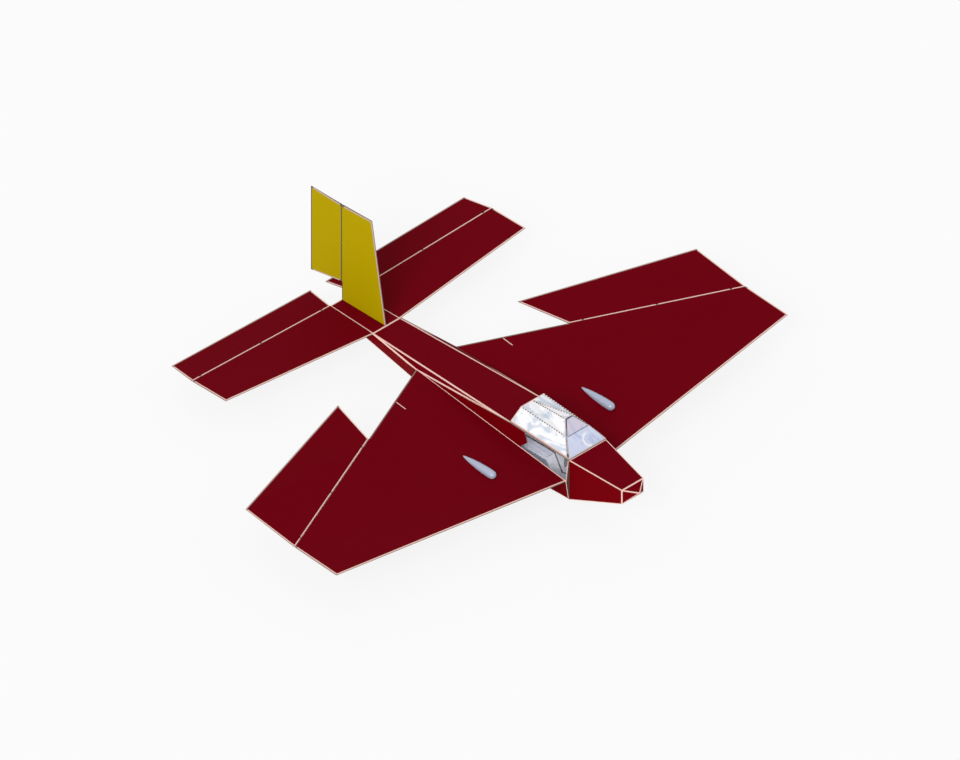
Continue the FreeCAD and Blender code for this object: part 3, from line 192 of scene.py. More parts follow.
def painted_cloth():
    """Painted cloth: uneven coat, fine weave, and tapes over the ribs of a wing."""
    group, given, made = new_group(
        "painted_cloth",
        [("Paint", "Color", (0.5, 0.5, 0.5, 1)), ("Gloss", "Float", 0.42),
         ("Mottle", "Float", 0.07), ("Mottle Size", "Float", 1.6),
         ("Weave Size", "Float", 900.0), ("Rib Spacing", "Float", 0.3),
         ("Rib Tape", "Float", 0.0)], finish_outputs)
    thread_height = 0.06
    gloss_change = 0.25
    tape_inner, tape_outer = 0.012, 0.016
    knot_inner, knot_outer, knot_height = 0.003, 0.005, 0.6
    knots_along_rib, knot_crest = 14.0, (0.86, 0.96)
    place = add(group, "TexCoord").outputs["Object"]
    slow = add(group, "TexNoise", {"Vector": place, "Scale": given["Mottle Size"],
                                   "Detail": 5.0, "Roughness": 0.55}).outputs["Fac"]
    uneven = maths(group, "SUBTRACT", slow, 0.5)
    tint = maths(group, "MULTIPLY_ADD", uneven, given["Mottle"], 1.0)
    paint = add(group, "VectorMath", {0: given["Paint"], "Scale": tint}, operation="SCALE")
    threads = []
    for direction in ("X", "Y"):
        wave = add(group, "TexWave", {"Vector": place, "Scale": given["Weave Size"],
                                      "Distortion": 0.0}, bands_direction=direction)
        threads.append(wave.outputs["Fac"])
    weave = maths(group, "MULTIPLY", maths(group, "MAXIMUM", *threads), thread_height)
    turn = maths(group, "FRACT", maths(group, "DIVIDE", parts_of(group, "Object")["Y"],
                                       given["Rib Spacing"]))
    off_middle = maths(group, "ABSOLUTE", maths(group, "SUBTRACT", turn, 0.5))
    from_rib = maths(group, "MULTIPLY", off_middle, given["Rib Spacing"])
    tape = maths(group, "MULTIPLY", ramp(group, from_rib, tape_inner, tape_outer, 1.0, 0.0),
                 given["Rib Tape"])
    stitch = add(group, "TexWave", {"Vector": place, "Scale": knots_along_rib, "Distortion": 0.0},
                 bands_direction="X").outputs["Fac"]
    knots = maths(group, "MULTIPLY", ramp(group, stitch, *knot_crest),
                  ramp(group, from_rib, knot_inner, knot_outer, knot_height, 0.0))
    ribs = maths(group, "ADD", tape, maths(group, "MULTIPLY", knots, given["Rib Tape"]))
    feed(group, made, {"Color": paint.outputs[0], "Height": maths(group, "ADD", weave, ribs),
                       "Roughness": maths(group, "MULTIPLY_ADD", uneven, gloss_change,
                                          given["Gloss"])})


painted_cloth()


def shaded(name, plain):
    """A new material, its tree and its shader, with plain values on its own sockets."""
    finish = bpy.data.materials.new(name)
    finish.use_nodes = True
    tree = finish.node_tree
    return finish, tree, feed(tree, tree.nodes["Principled BSDF"], plain)


def wired(tree, shader, source, strength=0.3, colour=None):
    """Feeds a shader from a group's colour, roughness and height."""
    bump = add(tree, "Bump", {"Strength": strength, "Distance": 0.001,
                              "Height": source.outputs["Height"]})
    feed(tree, shader, {"Base Color": colour or source.outputs["Color"],
                        "Roughness": source.outputs["Roughness"], "Normal": bump.outputs[0]})


def dress(finish, *names):
    """Gives CAD nodes one material in place of their own."""
    for name in names:
        mesh = nodes[name].data
        mesh.materials.clear()
        mesh.materials.append(finish)


def red_with_painted_light(tree, underneath):
    """Red with painted light: brighter on upright faces, and the given colour underneath."""
    up = parts_of(tree, "Normal")["Z"]
    beside = mixed(tree, ramp(tree, up, *faces_down), underneath, painted_side_light_red)
    return mixed(tree, ramp(tree, up, *faces_up), beside, red)


red_skin, tree, shader = shaded("red_skin", flat_paint)
wired(tree, shader, add_group(tree, "painted_cloth", {"Paint": red_with_painted_light(tree, painted_under_light_red)}))
dress(red_skin, "aft_fuselage", "nose_cap")

# The cockpit tub and the nose are open boxes of the same sheet. They are red outside
# and lined inside in pale lavender grey, which rows of small dark rivets hold to the
# frames. The seat bulkhead behind the pilot has the lining on its face.
lavender = (0.76, 0.78, 0.88, 1)
rivet_brown = (0.12, 0.09, 0.085, 1)
cabin_station = 1.6
cabin_middle_height = 0.60
facing_in = -0.002
rivet_rim = 0.8


def riveted_lining():
    """A pale matt lining with rows of small dark rivets and faint stains."""
    group, given, made = new_group(
        "riveted_lining",
        [("Lining", "Color", lavender), ("Rivet", "Color", rivet_brown),
         ("Pitch", "Float", 0.04), ("Rivet Size", "Float", 0.005), ("Stain", "Float", 0.16)],
        finish_outputs)
    parts = parts_of(group, "Object")
    away = []
    for part, pitches in (("X", 1.0), ("Z", 2.0)):
        pitch = maths(group, "MULTIPLY", given["Pitch"], pitches)
        turn = maths(group, "FRACT", maths(group, "DIVIDE", parts[part], pitch))
        away.append(maths(group, "MULTIPLY", maths(group, "SUBTRACT", turn, 0.5), pitch))
    reach = maths(group, "SQRT", maths(group, "ADD", maths(group, "POWER", away[0], 2.0),
                                       maths(group, "POWER", away[1], 2.0)))
    size = given["Rivet Size"]
    crown = maths(group, "MULTIPLY", size, rivet_rim)
    dot = maths(group, "SUBTRACT", 1.0, ramp(group, reach, crown, size))
    stains = add(group, "TexNoise", {"Vector": add(group, "TexCoord").outputs["Object"],
                                     "Scale": 9.0, "Detail": 6.0, "Roughness": 0.65}).outputs["Fac"]
    stained = maths(group, "MULTIPLY", ramp(group, stains, 0.5, 0.72), given["Stain"])
    base = mixed(group, stained, given["Lining"], given["Rivet"])
    feed(group, made, {"Color": mixed(group, dot, base, given["Rivet"]), "Height": dot,
                       "Roughness": maths(group, "MULTIPLY_ADD", stains, 0.3, 0.4)})


def inward_side():
    """A mask of the faces that look in at the middle line of the cabin and the nose."""
    group, given, made = new_group("inward_side", [("Rise", "Float", 0.15)], [("Mask", "Float")])
    place = parts_of(group, "Object")
    facing = parts_of(group, "Normal")
    middle = maths(group, "MULTIPLY_ADD", maths(group, "SUBTRACT", place["X"], cabin_station),
                   given["Rise"], cabin_middle_height)
    across = maths(group, "MULTIPLY", facing["Y"], place["Y"])
    upright = maths(group, "MULTIPLY", facing["Z"], maths(group, "SUBTRACT", place["Z"], middle))
    outward = maths(group, "ADD", across, upright)
    feed(group, made, {"Mask": maths(group, "LESS_THAN", outward, facing_in)})


riveted_lining()
inward_side()
tub_skin, tree, shader = shaded("tub_skin", flat_paint)
# The tub's red has the same painted light: a brighter red on upright faces and underneath.
skin = add_group(tree, "painted_cloth", {"Paint": red_with_painted_light(tree, painted_side_light_red)})
inside = add_group(tree, "riveted_lining", {})
lined = add_group(tree, "inward_side", {})
wired(tree, shader, skin, colour=mixed(tree, lined.outputs["Mask"], skin.outputs["Color"],
                                       inside.outputs["Color"]))
dress(tub_skin, "cockpit_side_left", "cockpit_side_right", "cockpit_floor", "nose_shell")

cabin_lining, tree, shader = shaded("cabin_lining", {"Specular IOR Level": 0.2})
wired(tree, shader, add_group(tree, "riveted_lining", {}))
dress(cabin_lining, "seat_bulkhead")

# The front bulkhead is a bent sheet frame between the tub and the nose. The strip of
# it that stands out beside the narrower nose is bare dull grey-brown primer.
bulkhead_primer, tree, shader = shaded("bulkhead_primer", {"Specular IOR Level": 0.1})
wired(tree, shader, add_group(tree, "riveted_lining",
                              {"Lining": (0.105, 0.075, 0.066, 1), "Rivet": (0.06, 0.045, 0.04, 1),
                               "Pitch": 0.05}))
dress(bulkhead_primer, "front_bulkhead")

# Long plastic strips are glued along every edge of the panels. Their broad faces are a
# pinkish cream, their outer and lower faces are a dull grey-brown that is painted shade,
# and those along the rear edges of the wings and the tail are darker, also painted shade.
cream = (0.86, 0.56, 0.48, 1)
# Painted shade: the grey-brown of the strips' side faces and the darker tones of their rear edges.
painted_edge_shade = (0.27, 0.185, 0.155, 1)
rear_shade_taupe = (0.45, 0.32, 0.28, 1)
shadow_brown = (0.24, 0.165, 0.14, 1)
post_shade_brown = (0.13, 0.095, 0.07, 1)
dull_plastic = {"Specular IOR Level": 0.15}
fin_root = Vector((-2.344914, 0, 0.417801))
level_axis = nose_up @ Vector((1, 0, 0))
rudder_rear_station = -0.578
post_half_width = 0.040
tail_deck_line = (0.1252, 0.7234)
cabin_deck_line = (0.0832, 0.7686)
deck_strip_depth = 0.020
rear_edges = ((("wing_edges",), 1.5759, 0.4112, shadow_brown),
              (("stabilizer_edges",), 0.0, 0.0, shadow_brown),
              (("aileron_edge_left", "aileron_edge_right"), 1.0503, 0.3181, rear_shade_taupe),
              (("elevator_edge_left", "elevator_edge_right"), -0.455, 0.0, rear_shade_taupe))


def strip_tone():
    """Cream on a strip's broad faces and brown painted shade on its edges, with faint grime."""
    group, given, made = new_group(
        "strip_tone",
        [("Broad", "Color", cream), ("Edge", "Color", painted_edge_shade),
         ("Panel Axis", "Vector", (0, 0, 1)), ("Grime", "Float", 0.12)], finish_outputs)
    coordinates = add(group, "TexCoord").outputs
    turned = add(group, "VectorMath", {0: coordinates["Normal"], 1: given["Panel Axis"]},
                 operation="DOT_PRODUCT").outputs["Value"]
    broad = ramp(group, maths(group, "ABSOLUTE", turned), 0.62, 0.72)
    grime = add(group, "TexNoise", {"Vector": coordinates["Object"], "Scale": 40.0, "Detail": 4.0,
                                    "Roughness": 0.6}).outputs["Fac"]
    dirty = maths(group, "MULTIPLY", ramp(group, grime, 0.5, 0.75), given["Grime"])
    clean = mixed(group, dirty, given["Broad"], given["Edge"])
    feed(group, made, {"Color": mixed(group, broad, given["Edge"], clean), "Height": grime,
                       "Roughness": maths(group, "MULTIPLY_ADD", grime, 0.2, 0.4)})


def level_station(tree):
    """How far a place lies ahead of the fin's root, along the aircraft's level line."""
    place = add(tree, "TexCoord").outputs["Object"]
    along = add(tree, "VectorMath", {0: place, 1: level_axis}, operation="DOT_PRODUCT")
    return maths(tree, "SUBTRACT", along.outputs["Value"], fin_root.dot(level_axis))


def rear_line():
    """A mask of what is close to a straight rear edge, the same on left and right."""
    group, given, made = new_group(
        "rear_line", [("Start", "Float", 0.0), ("Sweep", "Float", 0.4), ("Reach", "Float", 0.035)],
        [("Mask", "Float")])
    half_span = maths(group, "ABSOLUTE", parts_of(group, "Object")["Y"])
    line = maths(group, "MULTIPLY_ADD", half_span, given["Sweep"], given["Start"])
    away = maths(group, "ABSOLUTE", maths(group, "SUBTRACT", level_station(group), line))
    feed(group, made, {"Mask": maths(group, "LESS_THAN", away, given["Reach"])})


def line_height(tree, station, line):
    """The height of a sloping line, given as its rise and its height at the datum."""
    return maths(tree, "MULTIPLY_ADD", station, *line)


strip_tone()
rear_line()
# Painted shade: near a rear edge a strip's broad faces take the darker tone.
for names, start, sweep, tone in rear_edges:
    level_strip, tree, shader = shaded("strip_of_" + names[0], dull_plastic)
    rear = add_group(tree, "rear_line", {"Start": start, "Sweep": sweep})
    broad = mixed(tree, rear.outputs["Mask"], cream, tone)
    wired(tree, shader, add_group(tree, "strip_tone", {"Broad": broad}), strength=0.1)
    dress(level_strip, *names)
# Painted shade: the coaming strip's side faces are a darker grey-brown.
coaming_strip, tree, shader = shaded("coaming_strip", dull_plastic)
wired(tree, shader, add_group(tree, "strip_tone", {"Broad": (0.70, 0.56, 0.50, 1),
                                                   "Edge": (0.30, 0.25, 0.23, 1)}), strength=0.1)
dress(coaming_strip, "cockpit_coaming")

upright_strip, tree, shader = shaded("upright_strip", dull_plastic)
strip = add_group(tree, "strip_tone", {"Broad": (0.60, 0.45, 0.38, 1), "Edge": shadow_brown,
                                       "Panel Axis": (0, 1, 0)})
# Painted shade: the strips are dark brown at the rudder post and the rudder's rear edge, and shadow
# brown on their side faces.
station = level_station(tree)
from_post = maths(tree, "ABSOLUTE", station)
from_rear = maths(tree, "ABSOLUTE", maths(tree, "SUBTRACT", station, rudder_rear_station))
upright = maths(tree, "LESS_THAN", maths(tree, "MINIMUM", from_post, from_rear), post_half_width)
wired(tree, shader, strip, strength=0.1,
      colour=mixed(tree, upright, strip.outputs["Color"], post_shade_brown))
dress(upright_strip, "fin_edge", "rudder_edge")

body_strip, tree, shader = shaded("body_strip", dull_plastic)
strip = add_group(tree, "strip_tone", {"Edge": cream})
# Painted shade: below the deck line the strips' side faces are grey-brown.
below = add_group(tree, "strip_tone", {})
parts = parts_of(tree, "Object")
deck_height = maths(tree, "MINIMUM", line_height(tree, parts["X"], tail_deck_line),
                    line_height(tree, parts["X"], cabin_deck_line))
beside_deck = maths(tree, "GREATER_THAN", parts["Z"],
                    maths(tree, "SUBTRACT", deck_height, deck_strip_depth))
left_top = maths(tree, "MULTIPLY", maths(tree, "GREATER_THAN", parts_of(tree, "Normal")["Z"], 0.5),
                 maths(tree, "GREATER_THAN", parts["Y"], 0))
side_tone = mixed(tree, left_top, strip.outputs["Color"], red)
wired(tree, shader, strip, strength=0.1,
      colour=mixed(tree, beside_deck, side_tone, below.outputs["Color"]))
dress(body_strip, "fuselage_longerons")

nose_strip, tree, shader = shaded("nose_strip", dull_plastic)
strip = add_group(tree, "strip_tone", {"Edge": cream})
# Painted shade: faces of the nose strips that look down are grey-brown.
looks_down = maths(tree, "LESS_THAN", parts_of(tree, "Normal")["Z"], -0.5)
wired(tree, shader, strip, strength=0.1,
      colour=mixed(tree, looks_down, strip.outputs["Color"], painted_edge_shade))
dress(nose_strip, "nose_edges")

# The wings are light ribs and spars under cloth drawn tight, doped and painted in the
# same dark red. Narrow tapes sewn over the ribs stand a little proud of the cloth.
wing_cloth, tree, shader = shaded("wing_cloth", flat_paint)
wired(tree, shader, add_group(tree, "painted_cloth", {"Paint": red, "Rib Tape": 0.5,
                                                      "Rib Spacing": 0.347}), strength=0.15)
dress(wing_cloth, "wing_left", "wing_right", "aileron_left", "aileron_right")

# The stabilizer and the elevators are built and covered as the wings are, with closer
# ribs. The fin and the rudder above them are painted a satin yellow.
tail_cloth, tree, shader = shaded("tail_cloth", flat_paint)
wired(tree, shader, add_group(tree, "painted_cloth", {"Paint": red, "Rib Tape": 0.5,
                                                      "Rib Spacing": 0.2765}), strength=0.15)
dress(tail_cloth, "stabilizer_left", "stabilizer_right", "elevator_left", "elevator_right")
yellow = (0.452, 0.333, 0.0006, 1)
yellow_cloth, tree, shader = shaded("yellow_cloth", flat_paint)
wired(tree, shader, add_group(tree, "painted_cloth", {"Paint": yellow}))
dress(yellow_cloth, "fin", "rudder")

# The hinges are small steel lugs with round pins, screwed to the fixed surface's rear
# edge. Their corners are slightly rounded and their faces are plated and dull.
join_distance = 0.00002


def machined_metal():
    """Plain metal with fine lengthwise scratches and patches of duller plating."""
    group, given, made = new_group(
        "machined_metal",
        [("Metal", "Color", (0.5, 0.5, 0.5, 1)), ("Dull", "Color", (0.3, 0.3, 0.3, 1)),
         ("Gloss", "Float", 0.35), ("Scratch Size", "Float", 120.0)], finish_outputs)
    place = add(group, "TexCoord").outputs["Object"]
    drawn = add(group, "Mapping", {"Vector": place, "Scale": (1.0, 0.12, 1.0)}).outputs[0]
    scratch = add(group, "TexNoise", {"Vector": drawn, "Scale": given["Scratch Size"],
                                      "Detail": 8.0, "Roughness": 0.7}).outputs["Fac"]
    patch = add(group, "TexNoise", {"Vector": place, "Scale": 18.0, "Detail": 4.0}).outputs["Fac"]
    worn = ramp(group, patch, 0.42, 0.62)
    feed(group, made, {"Color": mixed(group, worn, given["Metal"], given["Dull"]),
                       "Roughness": maths(group, "MULTIPLY_ADD", scratch, 0.3, given["Gloss"]),
                       "Height": scratch})


def eased(names, width, segments=2):
    """Rounds the corners of CAD nodes by modifiers, once their triangles are joined."""
    for name in names:
        weld = nodes[name].modifiers.new("joined", "WELD")
        weld.merge_threshold = join_distance
        bevel = nodes[name].modifiers.new("eased", "BEVEL")
        bevel.width = width
        bevel.segments = segments
        bevel.limit_method = "ANGLE"
        bevel.angle_limit = math.radians(40)


machined_metal()
hinge_steel, tree, shader = shaded("hinge_steel", {"Metallic": 0.9})
wired(tree, shader, add_group(tree, "machined_metal",
                              {"Metal": (0.42, 0.41, 0.40, 1), "Dull": (0.24, 0.23, 0.22, 1)}),
      strength=0.1)
hinge_nodes = ("aileron_hinges", "elevator_hinges", "rudder_hinges", "canopy_hinges")
dress(hinge_steel, *hinge_nodes)
eased(hinge_nodes, width=0.0006, segments=1)

# Each main wheel turns inside a moulded fairing: a teardrop pod stands on top of the
# wing, and under the wing a deep hollow trouser with the same plan holds the axle.
# Both are glass fibre with a glossy pale blue-grey finish.
parked = Matrix.Translation(fin_root) @ nose_up.to_4x4()
pod_nose = Vector((3.918, 1.096, -0.323))
pod_tail = Vector((3.307, 1.096, -0.290))
pod_radius = 0.060
pod_outline = ((0.0, 0.0), (0.004, 0.24), (0.012, 0.42), (0.026, 0.62), (0.05, 0.84),
               (0.08, 0.95), (0.13, 1.0), (0.2, 1.01), (0.29, 1.0), (0.38, 0.965),
               (0.47, 0.91), (0.58, 0.82), (0.70, 0.70), (0.82, 0.52), (0.90, 0.375),
               (0.96, 0.24), (0.99, 0.13), (1.0, 0.0))
wheel_centre = Vector((3.7119, 1.096, -0.8006))
trouser_foot = wheel_centre.z - 0.030
trouser_half_width = 0.074
trouser_top_front = -0.40
trouser_top_rear = -0.336
trouser_wall = 0.005
axle_boss = ((0.0, 0.0), (0.0, 0.030), (0.006, 0.028), (0.012, 0.022), (0.012, 0.0))
boss_sink = 0.002
forwards = Vector((1, 0, 0))
sideways = Vector((0, 1, 0))
upwards = Vector((0, 0, 1))


def settle(shape, name, finish, body, place=parked, smooth_below=35):
    """Makes a finished bmesh a piece of the parked aircraft that rides on a body."""
    bmesh.ops.remove_doubles(shape, verts=shape.verts, dist=join_distance)
    bmesh.ops.recalc_face_normals(shape, faces=shape.faces)
    bmesh.ops.transform(shape, matrix=place, verts=shape.verts)
    mesh = bpy.data.meshes.new(name)
    shape.to_mesh(mesh)
    shape.free()
    mesh.polygons.foreach_set("use_smooth", [True] * len(mesh.polygons))
    mesh.set_sharp_from_angle(angle=math.radians(smooth_below))
    mesh.materials.append(finish)
    piece = bpy.data.objects.new(name, mesh)
    bpy.context.collection.objects.link(piece)
    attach(piece, body)
    return piece


def turned(shape, centre, along, across, profile, steps, closed=False):
    """Spins a row of distances along an axis and radii into a turned form."""
    row = [shape.verts.new(centre + along * distance + across * radius)
           for distance, radius in profile]
    lines = [shape.edges.new(pair) for pair in zip(row[:-1], row[1:])]
    if closed:
        lines.append(shape.edges.new((row[-1], row[0])))
    bmesh.ops.spin(shape, geom=row + lines, cent=centre, axis=along, dvec=(0, 0, 0),
                   angle=math.tau, steps=steps, use_merge=True)


def on_side(side):
    """The placing of a left piece, or of its twin on the right."""
    return parked @ Matrix.Diagonal((1, side, 1, 1))


pale_gloss, tree, shader = shaded("pale_gloss", {"Coat Weight": 0.6, "Coat Roughness": 0.08})
wired(tree, shader, add_group(tree, "painted_cloth",
                              {"Paint": (0.40, 0.44, 0.56, 1), "Gloss": 0.25, "Mottle": 0.12,
                               "Mottle Size": 5.0, "Weave Size": 300.0}), strength=0.02)
pod_run = pod_tail - pod_nose
pod_along = pod_run.normalized()
pod_profile = [(pod_run.length * chord, pod_radius * width) for chord, width in pod_outline]
for name, side in (("left", 1), ("right", -1)):
    shape = bmesh.new()
    plan = [(pod_nose.x + pod_run.x * chord, trouser_half_width * width)
            for chord, width in pod_outline[1:-1]]
    plan += [(station, -half_width) for station, half_width in reversed(plan)]
    foot = [shape.verts.new((station, pod_nose.y + reach, trouser_foot)) for station, reach in plan]
    rim = [shape.edges.new((foot[count - 1], foot[count])) for count in range(len(foot))]
    wall = bmesh.ops.extrude_edge_only(shape, edges=rim)["geom"]
    for vert in [item for item in wall if isinstance(item, bmesh.types.BMVert)]:
        share = (pod_nose.x - vert.co.x) / (pod_nose.x - pod_tail.x)
        vert.co.z = trouser_top_front + (trouser_top_rear - trouser_top_front) * share
    top = [item for item in wall if isinstance(item, bmesh.types.BMEdge)
           and min(vert.co.z for vert in item.verts) > trouser_foot]
    bmesh.ops.contextual_create(shape, geom=top)
    bmesh.ops.recalc_face_normals(shape, faces=shape.faces)
    bmesh.ops.solidify(shape, geom=shape.faces[:], thickness=trouser_wall)
    turned(shape, pod_nose, pod_along, sideways, pod_profile, steps=48)
    for way in (-1, 1):
        start = wheel_centre + sideways * way * (trouser_half_width - boss_sink)
        turned(shape, start, sideways * way, forwards, axle_boss, steps=32)
    fairing = settle(shape, "wheel_fairing_" + name, pale_gloss, "airframe",
                     on_side(side))
    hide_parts("gear_fairing_" + name)

# The axles are plain steel bars, turned and left bright, one for each main wheel. Each
# passes through the walls of its trouser and is held by a nut on both sides.
axle_steel, tree, shader = shaded("axle_steel", {"Metallic": 1.0})
wired(tree, shader, add_group(tree, "machined_metal",
                              {"Metal": (0.50, 0.49, 0.47, 1), "Dull": (0.30, 0.29, 0.27, 1),
                               "Gloss": 0.28}), strength=0.1)
dress(axle_steel, "main_axles")
eased(["main_axles"], width=0.0008)

# The tyres are small pneumatic ones of black rubber with grooves round the tread, on
# turned alloy rims. Six pockets lighten each web, and six bolts hold its halves.
tread_half = ((0.0, 0.168), (0.0048, 0.1679), (0.0055, 0.1656), (0.0072, 0.1655),
              (0.0079, 0.1673), (0.0128, 0.1660), (0.0135, 0.1636), (0.0151, 0.1630),
              (0.0158, 0.1644), (0.0205, 0.1606), (0.0250, 0.1560), (0.0285, 0.1500),
              (0.0311, 0.1430), (0.0319, 0.1360), (0.0312, 0.1292), (0.0290, 0.1228),
              (0.0266, 0.1182), (0.0235, 0.1160))
rim_half = ((0.0, 0.1150), (0.0200, 0.1155), (0.0236, 0.1176), (0.0256, 0.1176),
            (0.0262, 0.1160), (0.0262, 0.1015), (0.0248, 0.0985), (0.0165, 0.0960),
            (0.0160, 0.0880), (0.0160, 0.0460), (0.0170, 0.0340), (0.0200, 0.0280),
            (0.0330, 0.0262), (0.0340, 0.0250), (0.0340, 0.0104))
pockets = 6
pocket_inner, pocket_outer = 0.05, 0.08
pocket_start, pocket_end = 0.18, 0.82
pocket_edge = 0.004
pocket_slope = 0.001
pocket_depth = 0.007
bolt_circle = 0.055
bolt_seat = 0.0158
flat_face = 0.9


def moulded_rubber():
    """Black rubber with a dusty bloom and a fine moulded grain."""
    group, given, made = new_group(
        "moulded_rubber",
        [("Rubber", "Color", (0.016, 0.016, 0.017, 1)), ("Bloom", "Color", (0.06, 0.056, 0.052, 1)),
         ("Amount", "Float", 0.5)], finish_outputs)
    place = add(group, "TexCoord").outputs["Object"]
    dust = add(group, "TexNoise", {"Vector": place, "Scale": 22.0, "Detail": 7.0,
                                   "Roughness": 0.7}).outputs["Fac"]
    grain = add(group, "TexNoise", {"Vector": place, "Scale": 700.0, "Detail": 2.0}).outputs["Fac"]
    settled = maths(group, "MULTIPLY", ramp(group, dust, 0.4, 0.7), given["Amount"])
    feed(group, made, {"Color": mixed(group, settled, given["Rubber"], given["Bloom"]),
                       "Roughness": maths(group, "MULTIPLY_ADD", dust, 0.3, 0.55),
                       "Height": grain})


def both_ways(half):
    """A profile from its middle outwards, continued on the other side."""
    return [(-distance, radius) for distance, radius in reversed(half[1:])] + list(half)


moulded_rubber()
tyre_rubber, tree, shader = shaded("tyre_rubber", {"Specular IOR Level": 0.35})
wired(tree, shader, add_group(tree, "moulded_rubber", {}), strength=0.2)
wheel_alloy, tree, shader = shaded("wheel_alloy", {"Metallic": 0.95})
wired(tree, shader, add_group(tree, "machined_metal",
                              {"Metal": (0.60, 0.60, 0.60, 1), "Dull": (0.42, 0.42, 0.42, 1),
                               "Gloss": 0.26}), strength=0.08)
for name, side in (("left", 1), ("right", -1)):
    shape = bmesh.new()
    turned(shape, wheel_centre, sideways, upwards, both_ways(tread_half), steps=96, closed=True)
    tyre = settle(shape, "main_wheel_" + name + "_tyre", tyre_rubber, "wheel_" + name,
                  on_side(side))
    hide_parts("main_tyre_" + name)
    shape = bmesh.new()
    turned(shape, wheel_centre, sideways, upwards, both_ways(rim_half), steps=48, closed=True)
    bmesh.ops.remove_doubles(shape, verts=shape.verts, dist=join_distance)
    bmesh.ops.recalc_face_normals(shape, faces=shape.faces)
    for way in (-1, 1):
        web = []
        for face in shape.faces:
            middle = face.calc_center_median() - wheel_centre
            on_web = pocket_inner < math.hypot(middle.x, middle.z) < pocket_outer
            if on_web and way * middle.y > 0 and abs(face.normal.y) > flat_face:
                share = math.atan2(middle.z, middle.x) % (math.tau / pockets) / (math.tau / pockets)
                if pocket_start < share < pocket_end:
                    web.append(face)
        bmesh.ops.inset_region(shape, faces=web, thickness=pocket_edge, use_even_offset=True)
        bmesh.ops.inset_region(shape, faces=web, thickness=pocket_slope, depth=-pocket_depth)
        for count in range(pockets):
            angle = math.tau * count / pockets
            bolt_place = wheel_centre + Vector((math.cos(angle) * bolt_circle, way * bolt_seat,
                                                math.sin(angle) * bolt_circle))
            bmesh.ops.create_cone(shape, cap_ends=True, segments=6, radius1=0.0052,
                                  radius2=0.0048, depth=0.009,
                                  matrix=Matrix.Translation(bolt_place)
                                  @ Matrix.Rotation(math.pi / 2, 4, "X"))
    rim = settle(shape, "main_wheel_" + name + "_rim", wheel_alloy, "wheel_" + name,
                 on_side(side))
    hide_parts("main_hub_" + name)

# The tail wheel hangs from a leaf of spring steel under the stern, in a welded fork on
# a king pin. It has the same kind of grooved tyre, on a plain turned drum.
spring_steel, tree, shader = shaded("spring_steel", {"Metallic": 0.85})
wired(tree, shader, add_group(tree, "machined_metal",
                              {"Metal": (0.16, 0.16, 0.17, 1), "Dull": (0.09, 0.09, 0.095, 1),
                               "Gloss": 0.4}), strength=0.15)
dress(spring_steel, "tail_leg", "tail_fork")
dress(wheel_alloy, "tail_hub")
eased(["tail_leg", "tail_fork", "tail_hub"], width=0.0012)
tail_wheel_centre = Vector((-2.1764, 0, 0.0720))
tail_tyre_radius = 0.072
tail_tread_scale = 0.018 / 0.032
tail_profile = [(distance * tail_tread_scale,
                 tail_tyre_radius - (tread_half[0][1] - radius) * tail_tread_scale)
                for distance, radius in both_ways(tread_half)]
shape = bmesh.new()
turned(shape, tail_wheel_centre, sideways, upwards, tail_profile, steps=72, closed=True)
tail_tyre = settle(shape, "tail_wheel_tyre", tyre_rubber, "tail_wheel", Matrix.Identity(4))
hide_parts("tail_tyre")

# The canopy's frame is welded from thin bars and hinged along the left rail. It is
# cream outside, with dark seal strips along its ridges, dotted by the screws that hold
# the panes, and a plain grey seal round the front bow that meets the windscreen.
ridge_cream = (0.86, 0.76, 0.66, 1)
seal_brown = (0.13, 0.085, 0.06, 1)
bow_grey = (0.58, 0.54, 0.56, 1)
screw_pitch, screw_gap = 0.044, (0.20, 0.26)
canopy_rail_line = (0.0832, 0.8060)
rear_hoop_station = 1.122
bow_slope = 1.27
bow_rear, bow_front = 3.297, 3.322
frame_paint, tree, shader = shaded("frame_paint", {"Specular IOR Level": 0.25, "Roughness": 0.45})
parts = parts_of(tree, "Object")
turn = maths(tree, "FRACT", maths(tree, "DIVIDE", parts["X"], screw_pitch))
screws = ramp(tree, maths(tree, "ABSOLUTE", maths(tree, "SUBTRACT", turn, 0.5)), *screw_gap)
dotted = mixed(tree, screws, ridge_cream, seal_brown)
above_rail = maths(tree, "GREATER_THAN", parts["Z"],
                   line_height(tree, parts["X"], canopy_rail_line))
ahead_of_hoop = maths(tree, "GREATER_THAN", parts["X"], rear_hoop_station)
framed = mixed(tree, maths(tree, "MULTIPLY", above_rail, ahead_of_hoop), cream, dotted)
lean = maths(tree, "MULTIPLY_ADD", parts["Z"], bow_slope, parts["X"])
bow_tone = mixed(tree, maths(tree, "GREATER_THAN", lean, bow_front), cream, bow_grey)
on_bow = maths(tree, "GREATER_THAN", lean, bow_rear)
feed(tree, shader, {"Base Color": mixed(tree, on_bow, framed, bow_tone)})
dress(frame_paint, "canopy_frame")
eased(["canopy_frame"], width=0.0012)

# The canopy's panes are thin flat acrylic, bedded in the frame. Drifting white and
# blue-grey streaks are painted on them, a painted reflection of the pale sky, and
# little shows through them.
daylight_through = 0.85


